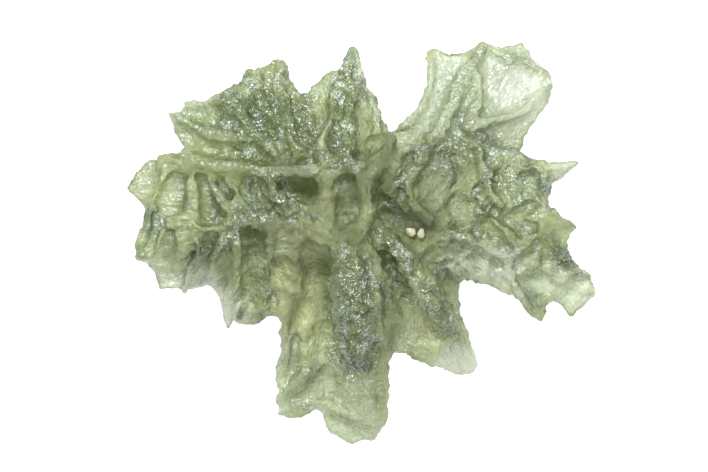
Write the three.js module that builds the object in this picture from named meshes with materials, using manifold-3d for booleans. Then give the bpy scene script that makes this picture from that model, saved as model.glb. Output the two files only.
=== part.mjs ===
// A moldavite: one natural piece of green glass with a thick heart, thin jagged lobes, thorns,
// ridges and deep etched channels. It lies on its back, on a small flat spot under the heart.
// Two grains of sand are stuck in a recess of its face.
//
// All sizes are in millimetres. X runs across the face, Y up the face and Z up from the ground.

import * as THREE from "three";
import { mergeVertices } from "three/addons/utils/BufferGeometryUtils.js";
import Module from "manifold-3d";

// Driving dimensions
const STONE_WIDTH = 35.1; // from the left tip to the right tip
const PLAN_WIDTH = 35.1; // the width at which the places below are given
const GRAIN_WIDTH = 0.86; // a coarse grain of sand
const STONE_FACES = 9300; // triangles in the finished stone
const GRID_STEP = 0.27; // the spacing at which the stone's surface is found

// How softly forms run into each other
const LOBE_BLEND = 0.9;
const RIDGE_BLEND = 0.5;
const CHANNEL_BLEND = 0.3;
const RIM_BLEND = 0.12;

// Half the thickness of the sheet of glass that is left in the middle of every blade
const SHEET_HALF = 0.25;

// The etched scallops that cover the whole surface
const SCALLOP_SIZE = 1.9;
const SCALLOP_DEPTH = 0.42;
const SCALLOP_LEVEL = 0.35; // the share of its depth at which the glass keeps its place
const SCALLOP_SEED = 5;
const FULL_DEPTH_AT = 1.5; // half-thickness of glass from which scallops have their full depth

// The flutes that run out from the root of each lobe, in rows around it
const FLUTE_ANGLE = 0.17; // how wide each is, in radians seen from the root
const FLUTE_STRETCH = 0.42; // how long each is, as a share of its distance from the root
const FLUTE_SWAY = 0.35; // how far a row sways to and fro, as a share of a flute's width
const FLUTE_SWAYS = 1.9; // how often, in radians for each flute outwards
const FLUTE_DEPTH = 0.55;
const THIN_SHARE = 0.5; // the most of a blade's half-thickness that a flute takes

// How steeply a scallop's and a flute's hollow rises from its middle to its crests
const SCALLOP_STEEPNESS = 1.6;
const FLUTE_STEEPNESS = 1.7;
const FLUTE_SCATTER = 0.7; // how far their middles stray, as a share of their size
const FACE_SEED = 20; // of the first lobe's flutes, and one more for each lobe after it
const UNDERSIDE_SEED = 27;

// How a lobe's plan outline is closed: past the ends of its rim, behind its root and beside it
const PAST_THE_ENDS = 3;
const BEHIND_THE_ROOT = 6;
const BESIDE_THE_ROOT = 11;

// Forms that follow the face are placed on it at steps no longer than this
const FOLLOWING_STEP = 0.8;
const CLEAR_HEIGHT = 13; // above the highest place of the stone
const CLOSE_ENOUGH = 0.01;
const CAREFUL_SHARE = 0.8; // of the distance to the glass, taken in one step towards it

// The box in which the stone's surface is looked for, and the closest that a grid point may lie to it
const LOOK_FROM = [-18.6, -16.2, -1.4];
const LOOK_TO = [18.6, 16.2, 12.6];
const CLEAR_OF_GRID = 1e-4;

// Joining points: what counts as no area, the share of a squared length added to each cost so that
// flat places join their nearest points first, how far a joined point may go in lengths of the edge,
// how flat the planes may lie to each other to fix a place, and how much of its facing a face keeps
const NO_AREA = 1e-5;
const LENGTH_COST = 1e-6;
const FARTHEST_JOIN = 2;
const FLAT_PLANES = 1e-7;
const KEPT_FACING = 0.25;
const MERGE_WITHIN = 1e-5;

// The heart of the stone: centre, then radii
const HEART = [
  { centre: [-2.4, 2.4, 6.0], radii: [7.6, 4.6, 4.2] },
  { centre: [3.2, 0.9, 5.6], radii: [5.2, 4.0, 3.6] },
  { centre: [1.3, -1.7, 6.0], radii: [3.4, 2.9, 2.5] },
  { centre: [-1.8, 1.5, 2.3], radii: [3.9, 3.1, 2.9] },
  { centre: [1.0, 0.3, 2.0], radii: [3.0, 2.6, 2.5] },
];

// The lobes. Each is a blade that fans out from a thick root to a thin rim of thorns and notches.
// rootHalf and rimHalf are half its thickness there, and a swell under 1 keeps it thick further out.
// Each rim place is [x, y, z].
const LOBES = [
  {
    name: "left lobe",
    root: [-4.6, 2.9, 6.8],
    rootHalf: 2.4,
    rimHalf: 0.36,
    swell: 0.8,
    rim: [
      [-12.4, 6.6, 6.9], [-13.0, 7.0, 6.6], [-14.3, 6.6, 6.4], [-15.1, 6.2, 6.0], [-15.8, 6.3, 5.8],
      [-16.35, 6.0, 5.7], [-16.8, 5.4, 5.7], [-17.55, 4.35, 5.6], [-17.5, 3.7, 5.6],
      [-16.6, 3.3, 5.8], [-16.0, 2.7, 6.4], [-16.2, 1.65, 6.8], [-16.3, 0.9, 7.0],
      [-16.65, 0.2, 7.0], [-16.8, -0.45, 6.8], [-16.8, -1.05, 6.6], [-16.35, -1.2, 6.4],
      [-15.8, -1.65, 6.0], [-15.45, -2.25, 5.6], [-15.3, -2.9, 5.2], [-15.15, -3.4, 5.0],
      [-14.6, -3.3, 5.2], [-13.6, -3.3, 5.4], [-13.2, -3.7, 5.2], [-12.8, -2.9, 5.6],
      [-12.3, -1.4, 6.2], [-11.4, -0.7, 6.4], [-10.4, -0.9, 6.4],
    ],
  },
  {
    name: "low thorn behind the left lobe",
    root: [-8.0, -0.4, 4.9],
    rootHalf: 1.2,
    rimHalf: 0.3,
    swell: 1,
    rim: [
      [-12.4, -0.8, 4.9], [-12.7, -2.2, 4.3], [-13.1, -3.4, 4.1], [-12.6, -3.5, 3.9], [-12.1, -3.2, 3.8],
      [-11.4, -3.15, 3.6], [-10.95, -3.55, 3.4], [-10.65, -4.05, 3.2], [-10.5, -4.65, 3.0],
      [-10.3, -5.55, 2.7], [-10.0, -6.4, 2.5], [-9.75, -5.9, 2.8], [-9.4, -5.2, 3.2],
      [-8.4, -4.4, 3.8], [-7.0, -3.4, 4.4],
    ],
  },
  {
    name: "short lower lobe",
    root: [-7.4, 1.0, 7.4],
    rootHalf: 1.6,
    rimHalf: 0.42,
    swell: 0.8,
    rim: [
      [-9.7, -0.8, 6.8], [-9.2, -2.3, 6.2], [-9.1, -4.2, 5.6], [-9.5, -5.3, 5.3],
      [-9.6, -5.75, 5.2], [-9.0, -6.05, 5.1], [-8.4, -6.15, 5.1], [-7.8, -6.05, 5.1],
      [-7.35, -5.75, 5.2], [-7.2, -5.5, 5.3], [-6.45, -5.4, 5.6], [-5.9, -5.6, 5.8],
      [-5.5, -4.5, 6.2],
    ],
  },
  {
    name: "long bottom lobe",
    root: [-2.4, -1.0, 6.2],
    rootHalf: 2.0,
    rimHalf: 0.42,
    swell: 0.8,
    rim: [
      [-5.8, -5.7, 5.2], [-5.5, -6.3, 4.8], [-5.45, -7.1, 4.4], [-5.6, -7.95, 4.0],
      [-5.8, -8.6, 3.7], [-6.15, -9.2, 3.5], [-6.35, -9.8, 3.3], [-6.4, -10.4, 3.1],
      [-6.15, -11.1, 2.9], [-6.15, -11.8, 2.7], [-6.25, -12.9, 2.4], [-5.55, -13.0, 2.4],
      [-5.2, -13.15, 2.4], [-4.5, -13.15, 2.3], [-4.1, -12.9, 2.4], [-3.75, -12.55, 2.5],
      [-3.4, -12.4, 2.5], [-3.0, -12.6, 2.4], [-2.85, -13.2, 2.2], [-2.6, -13.9, 2.1],
      [-2.3, -14.3, 2.0], [-1.8, -14.5, 2.0], [-1.35, -14.8, 1.9], [-0.8, -15.1, 1.9],
      [-0.4, -15.0, 1.9], [0.0, -14.8, 2.0], [0.7, -14.8, 2.0], [1.15, -14.7, 2.0],
      [1.5, -14.1, 2.1], [1.9, -13.6, 2.2], [2.05, -12.8, 2.3], [2.1, -12.0, 2.4],
      [2.0, -11.3, 2.6], [1.95, -10.3, 2.8], [2.0, -9.3, 3.1], [2.1, -8.4, 3.5], [2.2, -6.8, 4.2],
    ],
  },
  {
    name: "lower right lobe",
    root: [3.0, -0.4, 6.4],
    rootHalf: 1.9,
    rimHalf: 0.4,
    swell: 0.8,
    rim: [
      [1.4, -7.6, 4.6], [2.2, -8.2, 4.2], [3.15, -8.2, 4.2], [3.6, -8.4, 4.0], [4.1, -8.7, 3.8],
      [4.95, -8.9, 3.5], [5.8, -9.2, 3.1], [6.45, -9.45, 2.7], [6.9, -9.7, 2.4], [7.3, -9.85, 2.2],
      [8.0, -9.9, 1.9], [8.45, -9.75, 1.7], [8.85, -9.2, 1.6], [8.8, -8.85, 1.7], [8.55, -8.2, 1.9],
      [8.25, -7.5, 2.3], [8.0, -6.6, 2.8], [7.7, -5.7, 3.2], [7.45, -5.0, 3.6], [7.3, -4.1, 4.0],
      [7.2, -3.3, 4.4], [7.1, -2.7, 4.8],
    ],
  },
  {
    name: "right lobe",
    root: [5.4, 1.0, 7.0],
    rootHalf: 2.3,
    rimHalf: 0.38,
    swell: 0.8,
    rim: [
      [7.1, -2.7, 5.0], [8.2, -2.7, 4.8], [8.9, -2.8, 4.7], [9.6, -3.0, 4.7], [10.2, -3.4, 4.8],
      [10.65, -3.7, 4.8], [11.2, -3.75, 4.9], [11.55, -4.1, 5.0], [12.0, -4.4, 5.1],
      [12.4, -4.85, 5.2], [12.7, -5.25, 5.3], [13.1, -5.5, 5.4], [13.5, -5.75, 5.5],
      [13.8, -5.2, 5.5], [13.9, -4.65, 5.3], [14.25, -4.35, 5.1], [14.9, -4.5, 4.9],
      [15.2, -4.95, 4.8], [15.7, -5.45, 4.6], [16.1, -4.95, 4.6], [16.65, -4.7, 4.5],
      [17.0, -4.2, 4.4], [17.55, -3.9, 4.3], [17.5, -3.3, 4.5], [17.2, -2.6, 4.8],
      [16.95, -2.1, 5.0], [16.65, -1.95, 5.2], [16.2, -1.9, 5.5], [15.9, -1.5, 5.9],
      [15.6, -0.75, 6.3], [15.4, -0.15, 6.6], [15.45, 0.45, 6.8], [15.7, 0.9, 7.0],
      [16.0, 1.3, 7.2], [15.7, 1.6, 7.2], [15.3, 1.95, 7.2], [14.8, 2.4, 7.1], [14.25, 2.8, 7.1],
      [14.0, 3.4, 7.1], [14.1, 3.8, 7.2], [14.25, 4.3, 7.4], [14.8, 4.8, 7.6], [15.45, 5.3, 7.8],
      [16.0, 5.7, 8.0], [16.1, 6.1, 8.1], [15.8, 6.15, 8.1], [15.4, 6.0, 8.0], [14.8, 6.0, 8.0],
      [14.2, 6.05, 8.0], [13.4, 6.1, 8.2], [12.9, 6.45, 8.3], [12.2, 6.6, 8.3], [11.9, 7.05, 8.3],
      [11.4, 7.2, 8.2], [10.95, 7.1, 8.2], [10.4, 7.1, 8.2], [10.05, 7.4, 8.2], [9.7, 7.95, 8.2],
      [9.2, 8.25, 8.2], [8.7, 8.4, 8.2], [8.3, 7.6, 8.1], [7.4, 6.8, 8.1], [6.4, 6.2, 8.3],
    ],
  },
  {
    name: "front blade of the right lobe",
    root: [4.6, 1.4, 8.2],
    rootHalf: 1.2,
    rimHalf: 0.36,
    swell: 0.8,
    rim: [
      [7.0, 5.4, 8.8], [6.6, 6.2, 9.0], [6.2, 6.5, 9.1], [5.8, 6.8, 9.3], [5.2, 7.3, 9.4],
      [4.9, 7.1, 9.4], [4.4, 7.35, 9.3], [3.7, 7.4, 9.2], [3.15, 7.1, 9.1], [2.4, 5.8, 9.3],
      [1.4, 4.2, 9.4],
    ],
  },
  {
    name: "pale upper right lobe",
    root: [5.0, 4.2, 5.0],
    rootHalf: 1.5,
    rimHalf: 0.4,
    swell: 1.2,
    rim: [
      [2.6, 7.3, 4.6], [2.3, 7.9, 4.4], [2.25, 8.5, 4.2], [2.6, 8.55, 4.1], [3.0, 8.7, 4.0],
      [3.6, 9.4, 3.8], [4.1, 9.9, 3.6], [4.5, 10.6, 3.4], [4.9, 11.55, 3.1], [5.0, 12.7, 2.8],
      [4.95, 13.65, 2.5], [4.9, 14.1, 2.4], [5.25, 14.55, 2.3], [5.55, 14.8, 2.3], [5.9, 14.6, 2.3],
      [6.6, 14.25, 2.3], [7.3, 14.3, 2.3], [7.95, 14.5, 2.3], [8.4, 14.85, 2.3], [8.9, 15.1, 2.3],
      [9.45, 15.0, 2.2], [9.75, 14.8, 2.1], [10.65, 14.8, 2.0], [11.55, 14.9, 1.9],
      [12.1, 15.1, 1.9], [12.5, 14.8, 1.9], [12.75, 14.25, 1.9], [13.3, 13.5, 1.9],
      [13.7, 13.0, 2.0], [14.0, 12.8, 2.0], [14.25, 13.0, 2.0], [14.4, 12.45, 2.0],
      [14.3, 11.85, 2.1], [14.2, 10.95, 2.2], [14.0, 10.5, 2.3], [13.65, 10.0, 2.4],
      [13.05, 9.15, 2.6], [12.5, 8.3, 2.8], [12.1, 7.35, 3.0], [11.4, 6.4, 3.4], [10.0, 5.4, 4.0],
    ],
  },
  {
    name: "upper left fan",
    root: [-3.8, 4.4, 7.6],
    rootHalf: 2.5,
    rimHalf: 0.4,
    swell: 0.55,
    rim: [
      [-12.4, 6.2, 6.4], [-13.0, 7.0, 6.3], [-13.35, 7.35, 6.2], [-13.8, 7.95, 6.0],
      [-14.1, 8.9, 5.8], [-14.4, 9.8, 5.6], [-13.95, 9.9, 5.7], [-13.6, 9.7, 5.8],
      [-13.3, 10.05, 5.9], [-13.1, 10.65, 5.9], [-12.5, 10.6, 6.1], [-11.85, 10.7, 6.3],
      [-11.3, 11.0, 6.4], [-10.9, 11.25, 6.5], [-9.8, 11.4, 6.8], [-9.4, 11.85, 6.9],
      [-8.85, 12.15, 7.0], [-8.55, 12.6, 7.1], [-8.2, 13.05, 7.2], [-7.4, 13.3, 7.3],
      [-6.7, 13.6, 7.4], [-6.2, 13.7, 7.4], [-5.8, 13.65, 7.4], [-5.6, 13.2, 7.5],
      [-5.25, 12.5, 7.6], [-4.9, 11.8, 7.7], [-4.6, 11.3, 7.8], [-4.2, 11.25, 7.8],
      [-3.7, 11.4, 7.8],
    ],
  },
  {
    name: "upper middle peak",
    root: [-0.8, 4.8, 8.2],
    rootHalf: 2.1,
    rimHalf: 0.4,
    swell: 0.6,
    rim: [
      [-4.2, 11.2, 7.6], [-3.7, 11.4, 7.7], [-3.5, 11.7, 7.7], [-3.1, 12.1, 7.8], [-2.7, 12.6, 7.9],
      [-2.4, 12.8, 7.9], [-1.9, 13.0, 8.0], [-1.5, 13.35, 8.0], [-1.2, 13.95, 8.0],
      [-1.0, 14.5, 8.0], [-0.6, 14.7, 8.0], [-0.3, 14.55, 8.0], [-0.1, 14.1, 8.0],
      [0.1, 13.35, 8.0], [0.4, 12.3, 8.0], [0.5, 11.4, 7.9], [0.6, 10.8, 7.9], [0.9, 10.2, 7.8],
      [1.3, 9.5, 7.7], [1.5, 9.1, 7.7], [1.8, 9.0, 7.7], [2.1, 8.5, 7.6], [2.4, 7.8, 7.5],
      [2.9, 6.6, 7.5],
    ],
  },
];

// Prongs are thick rods of glass that stand free of the lobes, bridge them or carry them. Each place is
// [x, y, z, radius].
const PRONGS = [
  {
    name: "rib under the left lobe",
    places: [
      [-2.6, 1.6, 2.2, 1.5],
      [-5.6, 1.7, 3.3, 1.2],
      [-9.0, 1.6, 4.9, 0.8],
      [-11.4, 1.4, 6.0, 0.5],
    ],
  },
  {
    name: "rib under the long bottom lobe",
    places: [
      [-1.2, 0.2, 2.4, 1.5],
      [-1.8, -1.9, 3.5, 1.5],
      [-2.4, -5.2, 3.6, 0.8],
      [-2.5, -7.6, 3.7, 0.5],
    ],
  },
  {
    name: "rib under the right lobe",
    places: [
      [0.6, 0.4, 2.2, 1.4],
      [3.8, 0.3, 3.2, 1.2],
      [7.6, 0.2, 4.7, 0.9],
      [9.8, -0.2, 5.7, 0.5],
    ],
  },
  {
    name: "rib under the upper left fan",
    places: [
      [-2.2, 2.4, 2.3, 1.4],
      [-4.2, 5.0, 3.9, 1.2],
      [-6.2, 7.2, 5.7, 0.8],
    ],
  },
  {
    name: "rib under the pale lobe",
    places: [
      [0.4, 1.6, 2.2, 1.4],
      [2.8, 4.0, 2.9, 1.2],
      [4.8, 6.4, 3.4, 0.7],
    ],
  },
  {
    name: "front prong",
    places: [
      [-1.0, -0.2, 9.3, 1.5],
      [-0.6, -2.4, 9.6, 1.85],
      [-0.2, -4.6, 9.5, 1.9],
      [-0.15, -6.5, 9.2, 1.7],
      [-0.25, -8.3, 8.9, 1.3],
    ],
  },
  {
    name: "smooth crest right of the front prong",
    places: [
      [-0.6, 0.7, 9.9, 0.8],
      [0.7, -1.2, 9.6, 0.75],
      [1.7, -2.9, 8.6, 0.7],
      [2.2, -4.3, 7.6, 0.6],
    ],
  },
  {
    name: "dark crest of the lower right lobe",
    places: [
      [2.2, 0.4, 9.0, 0.9],
      [3.2, -0.9, 8.7, 1.0],
      [4.5, -2.6, 7.9, 1.15],
      [5.7, -4.7, 6.8, 1.1],
      [6.5, -6.1, 6.0, 0.8],
    ],
  },
  {
    name: "smooth shoulder between the short lobe and the long lobe",
    places: [
      [-4.7, 1.4, 8.0, 1.5],
      [-4.8, -0.6, 7.4, 1.5],
      [-5.3, -2.5, 6.6, 1.3],
      [-5.6, -4.2, 5.9, 1.0],
      [-5.8, -5.3, 5.4, 0.6],
    ],
  },
  {
    name: "spine of the low thorn",
    places: [
      [-9.2, -1.8, 4.9, 0.8],
      [-9.8, -3.8, 4.1, 0.55],
      [-10.0, -5.4, 3.1, 0.3],
      [-10.0, -6.3, 2.5, 0.12],
    ],
  },
];

// Crests stand on the face of the stone. Each place is [x, y, half-width, rise above the face].
const CREST_SKIRT = 0.6; // how far they reach down into it
const CRESTS = [
  {
    name: "long ledge between the left lobe and the upper left fan",
    places: [
      [-14.7, 6.1, 0.5, 0.2],
      [-12.8, 5.9, 0.7, 0.4],
      [-10.9, 5.8, 0.75, 0.5],
      [-9.1, 5.6, 0.7, 0.5],
      [-6.5, 5.4, 0.5, 0.6],
      [-4.6, 5.5, 0.5, 0.7],
      [-2.3, 5.3, 0.6, 0.6],
    ],
  },
  {
    name: "crest inside the left tip",
    places: [
      [-14.3, 6.4, 0.3, 0.3],
      [-14.6, 5.5, 0.35, 0.4],
      [-15.3, 4.2, 0.35, 0.4],
      [-15.7, 2.9, 0.3, 0.3],
    ],
  },
  {
    name: "first rib of the left lobe",
    places: [
      [-12.7, 4.7, 0.35, 0.4],
      [-12.9, 3.5, 0.3, 0.5],
      [-12.9, 2.5, 0.3, 0.45],
      [-13.1, 1.9, 0.3, 0.4],
    ],
  },
  {
    name: "smooth leaf beside the first rib",
    places: [[-12.35, 4.1, 0.5, 0.25], [-12.3, 3, 0.55, 0.3], [-12.35, 2.1, 0.4, 0.3]],
  },
  {
    name: "second rib of the left lobe",
    places: [
      [-11.3, 4.7, 0.35, 0.4],
      [-10.7, 3.7, 0.35, 0.45],
      [-10.2, 2.9, 0.4, 0.45],
      [-9.2, 2.3, 0.4, 0.4],
    ],
  },
  {
    name: "third rib of the left lobe",
    places: [
      [-9.9, 4.7, 0.35, 0.35],
      [-9.1, 3.5, 0.35, 0.4],
      [-8.6, 2.8, 0.4, 0.4],
      [-7.9, 2, 0.4, 0.35],
    ],
  },
  {
    name: "left wall of the deep hollow",
    places: [[-6.9, 4.9, 0.4, 0.5], [-6.3, 3.7, 0.45, 0.5], [-5.3, 2.2, 0.45, 0.4]],
  },
  {
    name: "smooth mound right of the deep hollow",
    places: [[-2.8, 4.7, 0.9, 0.3], [-2.6, 3.4, 1.1, 0.4], [-2.6, 2.2, 0.9, 0.3]],
  },
  {
    name: "crest across the left lobe",
    places: [
      [-15.6, 2.7, 0.3, 0.3],
      [-14.7, 1.8, 0.3, 0.4],
      [-13.7, 1.9, 0.3, 0.45],
      [-12.5, 1.4, 0.35, 0.5],
      [-11.5, 0.9, 0.35, 0.45],
      [-10.5, 1.3, 0.35, 0.45],
      [-9, 2, 0.4, 0.4],
    ],
  },
  {
    name: "rim crest of the lower left tip",
    places: [
      [-15.8, 2.6, 0.35, 0.3],
      [-16.0, 1.4, 0.35, 0.35],
      [-16.4, 0.3, 0.35, 0.3],
      [-16.7, -0.9, 0.25, 0.15],
    ],
  },
  {
    name: "inner edge of the left rim",
    places: [
      [-14.2, 1.4, 0.3, 0.35],
      [-14.9, 0.4, 0.3, 0.35],
      [-15.4, -0.7, 0.25, 0.3],
      [-16.4, -1.1, 0.25, 0.15],
    ],
  },
  {
    name: "lower left mound",
    places: [[-13.4, 1, 0.55, 0.3], [-13.3, -0.1, 0.65, 0.35], [-13.5, -0.9, 0.5, 0.3]],
  },
  {
    name: "rib right of the lower left mound",
    places: [
      [-12.7, 0.9, 0.3, 0.35],
      [-12.1, 0, 0.3, 0.4],
      [-12.1, -0.9, 0.3, 0.35],
      [-12.7, -1.9, 0.3, 0.3],
      [-13.2, -3.4, 0.25, 0.15],
    ],
  },
  {
    name: "bright rib between the left and short lobes",
    places: [
      [-9.1, 1.9, 0.4, 0.4],
      [-9.8, 1, 0.4, 0.45],
      [-10.5, 0, 0.4, 0.4],
      [-11.2, -1.2, 0.35, 0.25],
    ],
  },
  {
    name: "right wall of the short lobe",
    places: [
      [-6.7, 0.9, 0.5, 0.4],
      [-7.0, -0.8, 0.45, 0.4],
      [-7.3, -3.1, 0.45, 0.35],
      [-7.3, -4.6, 0.4, 0.2],
    ],
  },
  {
    name: "left wall of the short lobe",
    places: [
      [-9.1, 0.3, 0.45, 0.35],
      [-9.2, -1.3, 0.45, 0.35],
      [-9.1, -3.4, 0.45, 0.3],
      [-9.3, -5.1, 0.35, 0.15],
    ],
  },
  {
    name: "arch at the top of the short lobe",
    places: [
      [-9.1, 0.6, 0.4, 0.3],
      [-8.4, 1.6, 0.45, 0.4],
      [-7.4, 1.7, 0.45, 0.4],
      [-6.7, 0.9, 0.45, 0.4],
    ],
  },
  {
    name: "upper diagonal crest",
    places: [
      [2.2, 7.8, 0.5, 0.3],
      [0.7, 6.8, 0.7, 0.5],
      [-0.7, 5.9, 0.7, 0.6],
      [-1.9, 5.1, 0.7, 0.6],
    ],
  },
  {
    name: "middle diagonal crest",
    places: [[3.5, 7.1, 0.4, 0.3], [1.4, 5.8, 0.6, 0.5], [-0.1, 4.4, 0.6, 0.5]],
  },
  {
    name: "lower diagonal crest",
    places: [
      [4.7, 7.0, 0.35, 0.3],
      [2.9, 4.9, 0.5, 0.5],
      [1.9, 3.6, 0.5, 0.5],
      [0.8, 2.6, 0.5, 0.4],
    ],
  },
  {
    name: "middle crest",
    places: [
      [-0.3, 5.5, 0.7, 0.5],
      [0.4, 4.1, 0.7, 0.6],
      [0.4, 2.2, 0.7, 0.6],
      [-0.7, 0.5, 0.7, 0.5],
    ],
  },
  {
    name: "crest left of the middle",
    places: [[-2.3, 4.8, 0.6, 0.4], [-3.1, 2.9, 0.6, 0.4], [-2.3, 1.0, 0.6, 0.4]],
  },
  {
    name: "front edge of the right lobe",
    places: [
      [4.9, 7.2, 0.35, 0.4],
      [3.4, 4.3, 0.4, 0.6],
      [4.0, 2.7, 0.4, 0.6],
      [5.1, 1.8, 0.5, 0.4],
    ],
  },
  {
    name: "straight crest of the right lobe",
    places: [[8.6, 7.4, 0.35, 0.2], [9.5, 4.3, 0.4, 0.45], [10.6, 2.4, 0.4, 0.3]],
  },
  {
    name: "spine of the upper right thorn",
    places: [[12.6, 5.7, 0.4, 0.3], [14.2, 5.7, 0.35, 0.25], [16.0, 6.05, 0.15, 0.05]],
  },
  {
    name: "crest inside the two right thorns",
    places: [[13.5, 5.9, 0.35, 0.3], [13.6, 3.5, 0.35, 0.5], [13.4, 1.2, 0.4, 0.4]],
  },
  {
    name: "spine of the right thorn",
    places: [[12.4, 2.0, 0.4, 0.3], [14.0, 1.8, 0.35, 0.35], [15.9, 1.3, 0.2, 0.1]],
  },
  {
    name: "winding crest of the right lobe",
    places: [
      [7.9, 2.6, 0.4, 0.3],
      [9.4, 2.2, 0.4, 0.4],
      [11.2, 0.4, 0.4, 0.45],
      [11.9, -0.1, 0.4, 0.45],
      [13.4, 1.2, 0.4, 0.4],
    ],
  },
  {
    name: "crest to the lowest thorn of the right lobe",
    places: [
      [11.9, -0.1, 0.4, 0.4],
      [11.0, -1.4, 0.4, 0.4],
      [11.2, -2.6, 0.4, 0.35],
      [12.4, -4.4, 0.35, 0.25],
      [13.4, -5.5, 0.2, 0.1],
    ],
  },
  {
    name: "dark crest over the lower right bay",
    places: [
      [14.3, 0.0, 0.45, 0.4],
      [15.1, -0.9, 0.45, 0.4],
      [15.8, -1.9, 0.4, 0.3],
      [17.0, -2.6, 0.3, 0.15],
    ],
  },
  {
    name: "pale mound of the right lobe",
    places: [[12.1, -1.6, 0.9, 0.3], [12.8, -1.1, 0.9, 0.3]],
  },
  {
    name: "bumpy crest of the right lobe",
    places: [
      [6.6, 0.9, 0.6, 0.4],
      [7.9, 0.5, 0.5, 0.4],
      [9.4, -0.2, 0.5, 0.4],
      [10.9, -0.9, 0.4, 0.3],
    ],
  },
  {
    name: "crest of the lower right tip",
    places: [[14.0, -1.8, 0.5, 0.25], [15.6, -3.0, 0.5, 0.2], [17.2, -3.7, 0.35, 0.1]],
  },
  {
    name: "thick band of the pale lobe",
    places: [
      [9.2, 14.8, 0.4, 0.3],
      [8.1, 13.2, 0.6, 0.5],
      [7.2, 11.8, 0.7, 0.6],
      [6.6, 10.3, 0.8, 0.7],
      [5.6, 8.2, 0.9, 0.7],
    ],
  },
  {
    name: "short rib of the pale lobe",
    places: [
      [8.6, 13.0, 0.3, 0.3],
      [9.1, 11.2, 0.3, 0.35],
      [8.6, 10.1, 0.45, 0.5],
      [8.0, 8.8, 0.6, 0.5],
    ],
  },
  {
    name: "long thin rib of the pale lobe",
    places: [
      [14.2, 11.9, 0.25, 0.2],
      [12.1, 9.8, 0.3, 0.35],
      [10.4, 9.4, 0.3, 0.35],
      [8.4, 8.8, 0.5, 0.4],
    ],
  },
  {
    name: "rim crest of the pale lobe",
    places: [
      [9.9, 14.5, 0.3, 0.3],
      [10.8, 14.0, 0.3, 0.3],
      [11.9, 13.9, 0.3, 0.3],
      [13.0, 13.5, 0.3, 0.3],
      [14.1, 12.4, 0.25, 0.2],
    ],
  },
  {
    name: "left rim of the pale lobe",
    places: [
      [5.1, 14.2, 0.35, 0.2],
      [5.5, 12.0, 0.4, 0.3],
      [4.7, 10.2, 0.4, 0.3],
      [3.1, 8.6, 0.4, 0.2],
    ],
  },
  {
    name: "first crest of the upper left fan",
    places: [
      [-14.1, 9.6, 0.25, 0.1],
      [-12.8, 9.0, 0.45, 0.35],
      [-10.9, 8.2, 0.55, 0.4],
      [-8.7, 7.8, 0.6, 0.35],
    ],
  },
  {
    name: "second crest of the upper left fan",
    places: [
      [-13.0, 10.4, 0.25, 0.1],
      [-11.7, 10.3, 0.35, 0.25],
      [-9.7, 10.7, 0.4, 0.3],
      [-8.5, 9.5, 0.5, 0.4],
    ],
  },
  {
    name: "third crest of the upper left fan",
    places: [
      [-9.5, 10.7, 0.45, 0.35],
      [-8.8, 9.2, 0.5, 0.45],
      [-7.6, 7.9, 0.6, 0.4],
      [-6.4, 6.8, 0.5, 0.3],
    ],
  },
  {
    name: "fourth crest of the upper left fan",
    places: [
      [-5.95, 13.4, 0.3, 0.2],
      [-6.2, 11.9, 0.5, 0.4],
      [-5.7, 10.0, 0.6, 0.45],
      [-5.3, 8.5, 0.6, 0.4],
      [-4.6, 7.0, 0.5, 0.3],
    ],
  },
  {
    name: "fifth crest of the upper left fan",
    places: [[-8.4, 12.6, 0.3, 0.15], [-7.6, 11.0, 0.45, 0.35], [-6.9, 9.4, 0.5, 0.4]],
  },
  {
    name: "crest of the upper middle peak",
    places: [
      [-0.6, 14.5, 0.3, 0.15],
      [-1.0, 12.7, 0.5, 0.35],
      [-1.6, 11.2, 0.6, 0.45],
      [-2.3, 9.7, 0.6, 0.45],
      [-3.0, 7.8, 0.5, 0.5],
      [-2.6, 6.2, 0.5, 0.5],
    ],
  },
  {
    name: "inner crest of the upper middle peak",
    places: [
      [-0.4, 12.0, 0.4, 0.3],
      [-1.0, 9.3, 0.6, 0.4],
      [-0.8, 7.4, 0.6, 0.4],
      [-1.6, 6.3, 0.5, 0.4],
    ],
  },
  {
    name: "right edge of the upper middle peak",
    places: [[0.5, 11.4, 0.35, 0.2], [1.0, 9.8, 0.45, 0.25], [1.0, 8.2, 0.5, 0.3]],
  },
  {
    name: "left rim of the long bottom lobe",
    places: [
      [-5.7, -6.3, 0.4, 0.2],
      [-5.6, -7.8, 0.45, 0.3],
      [-6.0, -9.9, 0.4, 0.3],
      [-5.9, -12.2, 0.35, 0.2],
    ],
  },
  {
    name: "slanting rib of the long bottom lobe",
    places: [
      [-3.1, -8.8, 0.5, 0.4],
      [-4.2, -9.8, 0.6, 0.5],
      [-5.1, -10.8, 0.6, 0.5],
      [-5.6, -11.8, 0.5, 0.3],
    ],
  },
  {
    name: "right rim of the long bottom lobe",
    places: [[1.8, -7.9, 0.4, 0.2], [1.6, -10.2, 0.45, 0.25], [1.5, -12.6, 0.4, 0.2]],
  },
  {
    name: "cross ribs at the end of the long bottom lobe",
    places: [
      [-4.8, -11.9, 0.4, 0.3],
      [-2.6, -11.9, 0.45, 0.35],
      [-1.0, -12.8, 0.45, 0.3],
      [0.6, -13.3, 0.4, 0.2],
    ],
  },
  {
    name: "edge of the clear tip of the lower right lobe",
    places: [
      [5.2, -9.0, 0.3, 0.15],
      [5.5, -7.9, 0.35, 0.3],
      [6.1, -7.3, 0.35, 0.3],
      [7.5, -6.9, 0.3, 0.2],
    ],
  },
];

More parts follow.
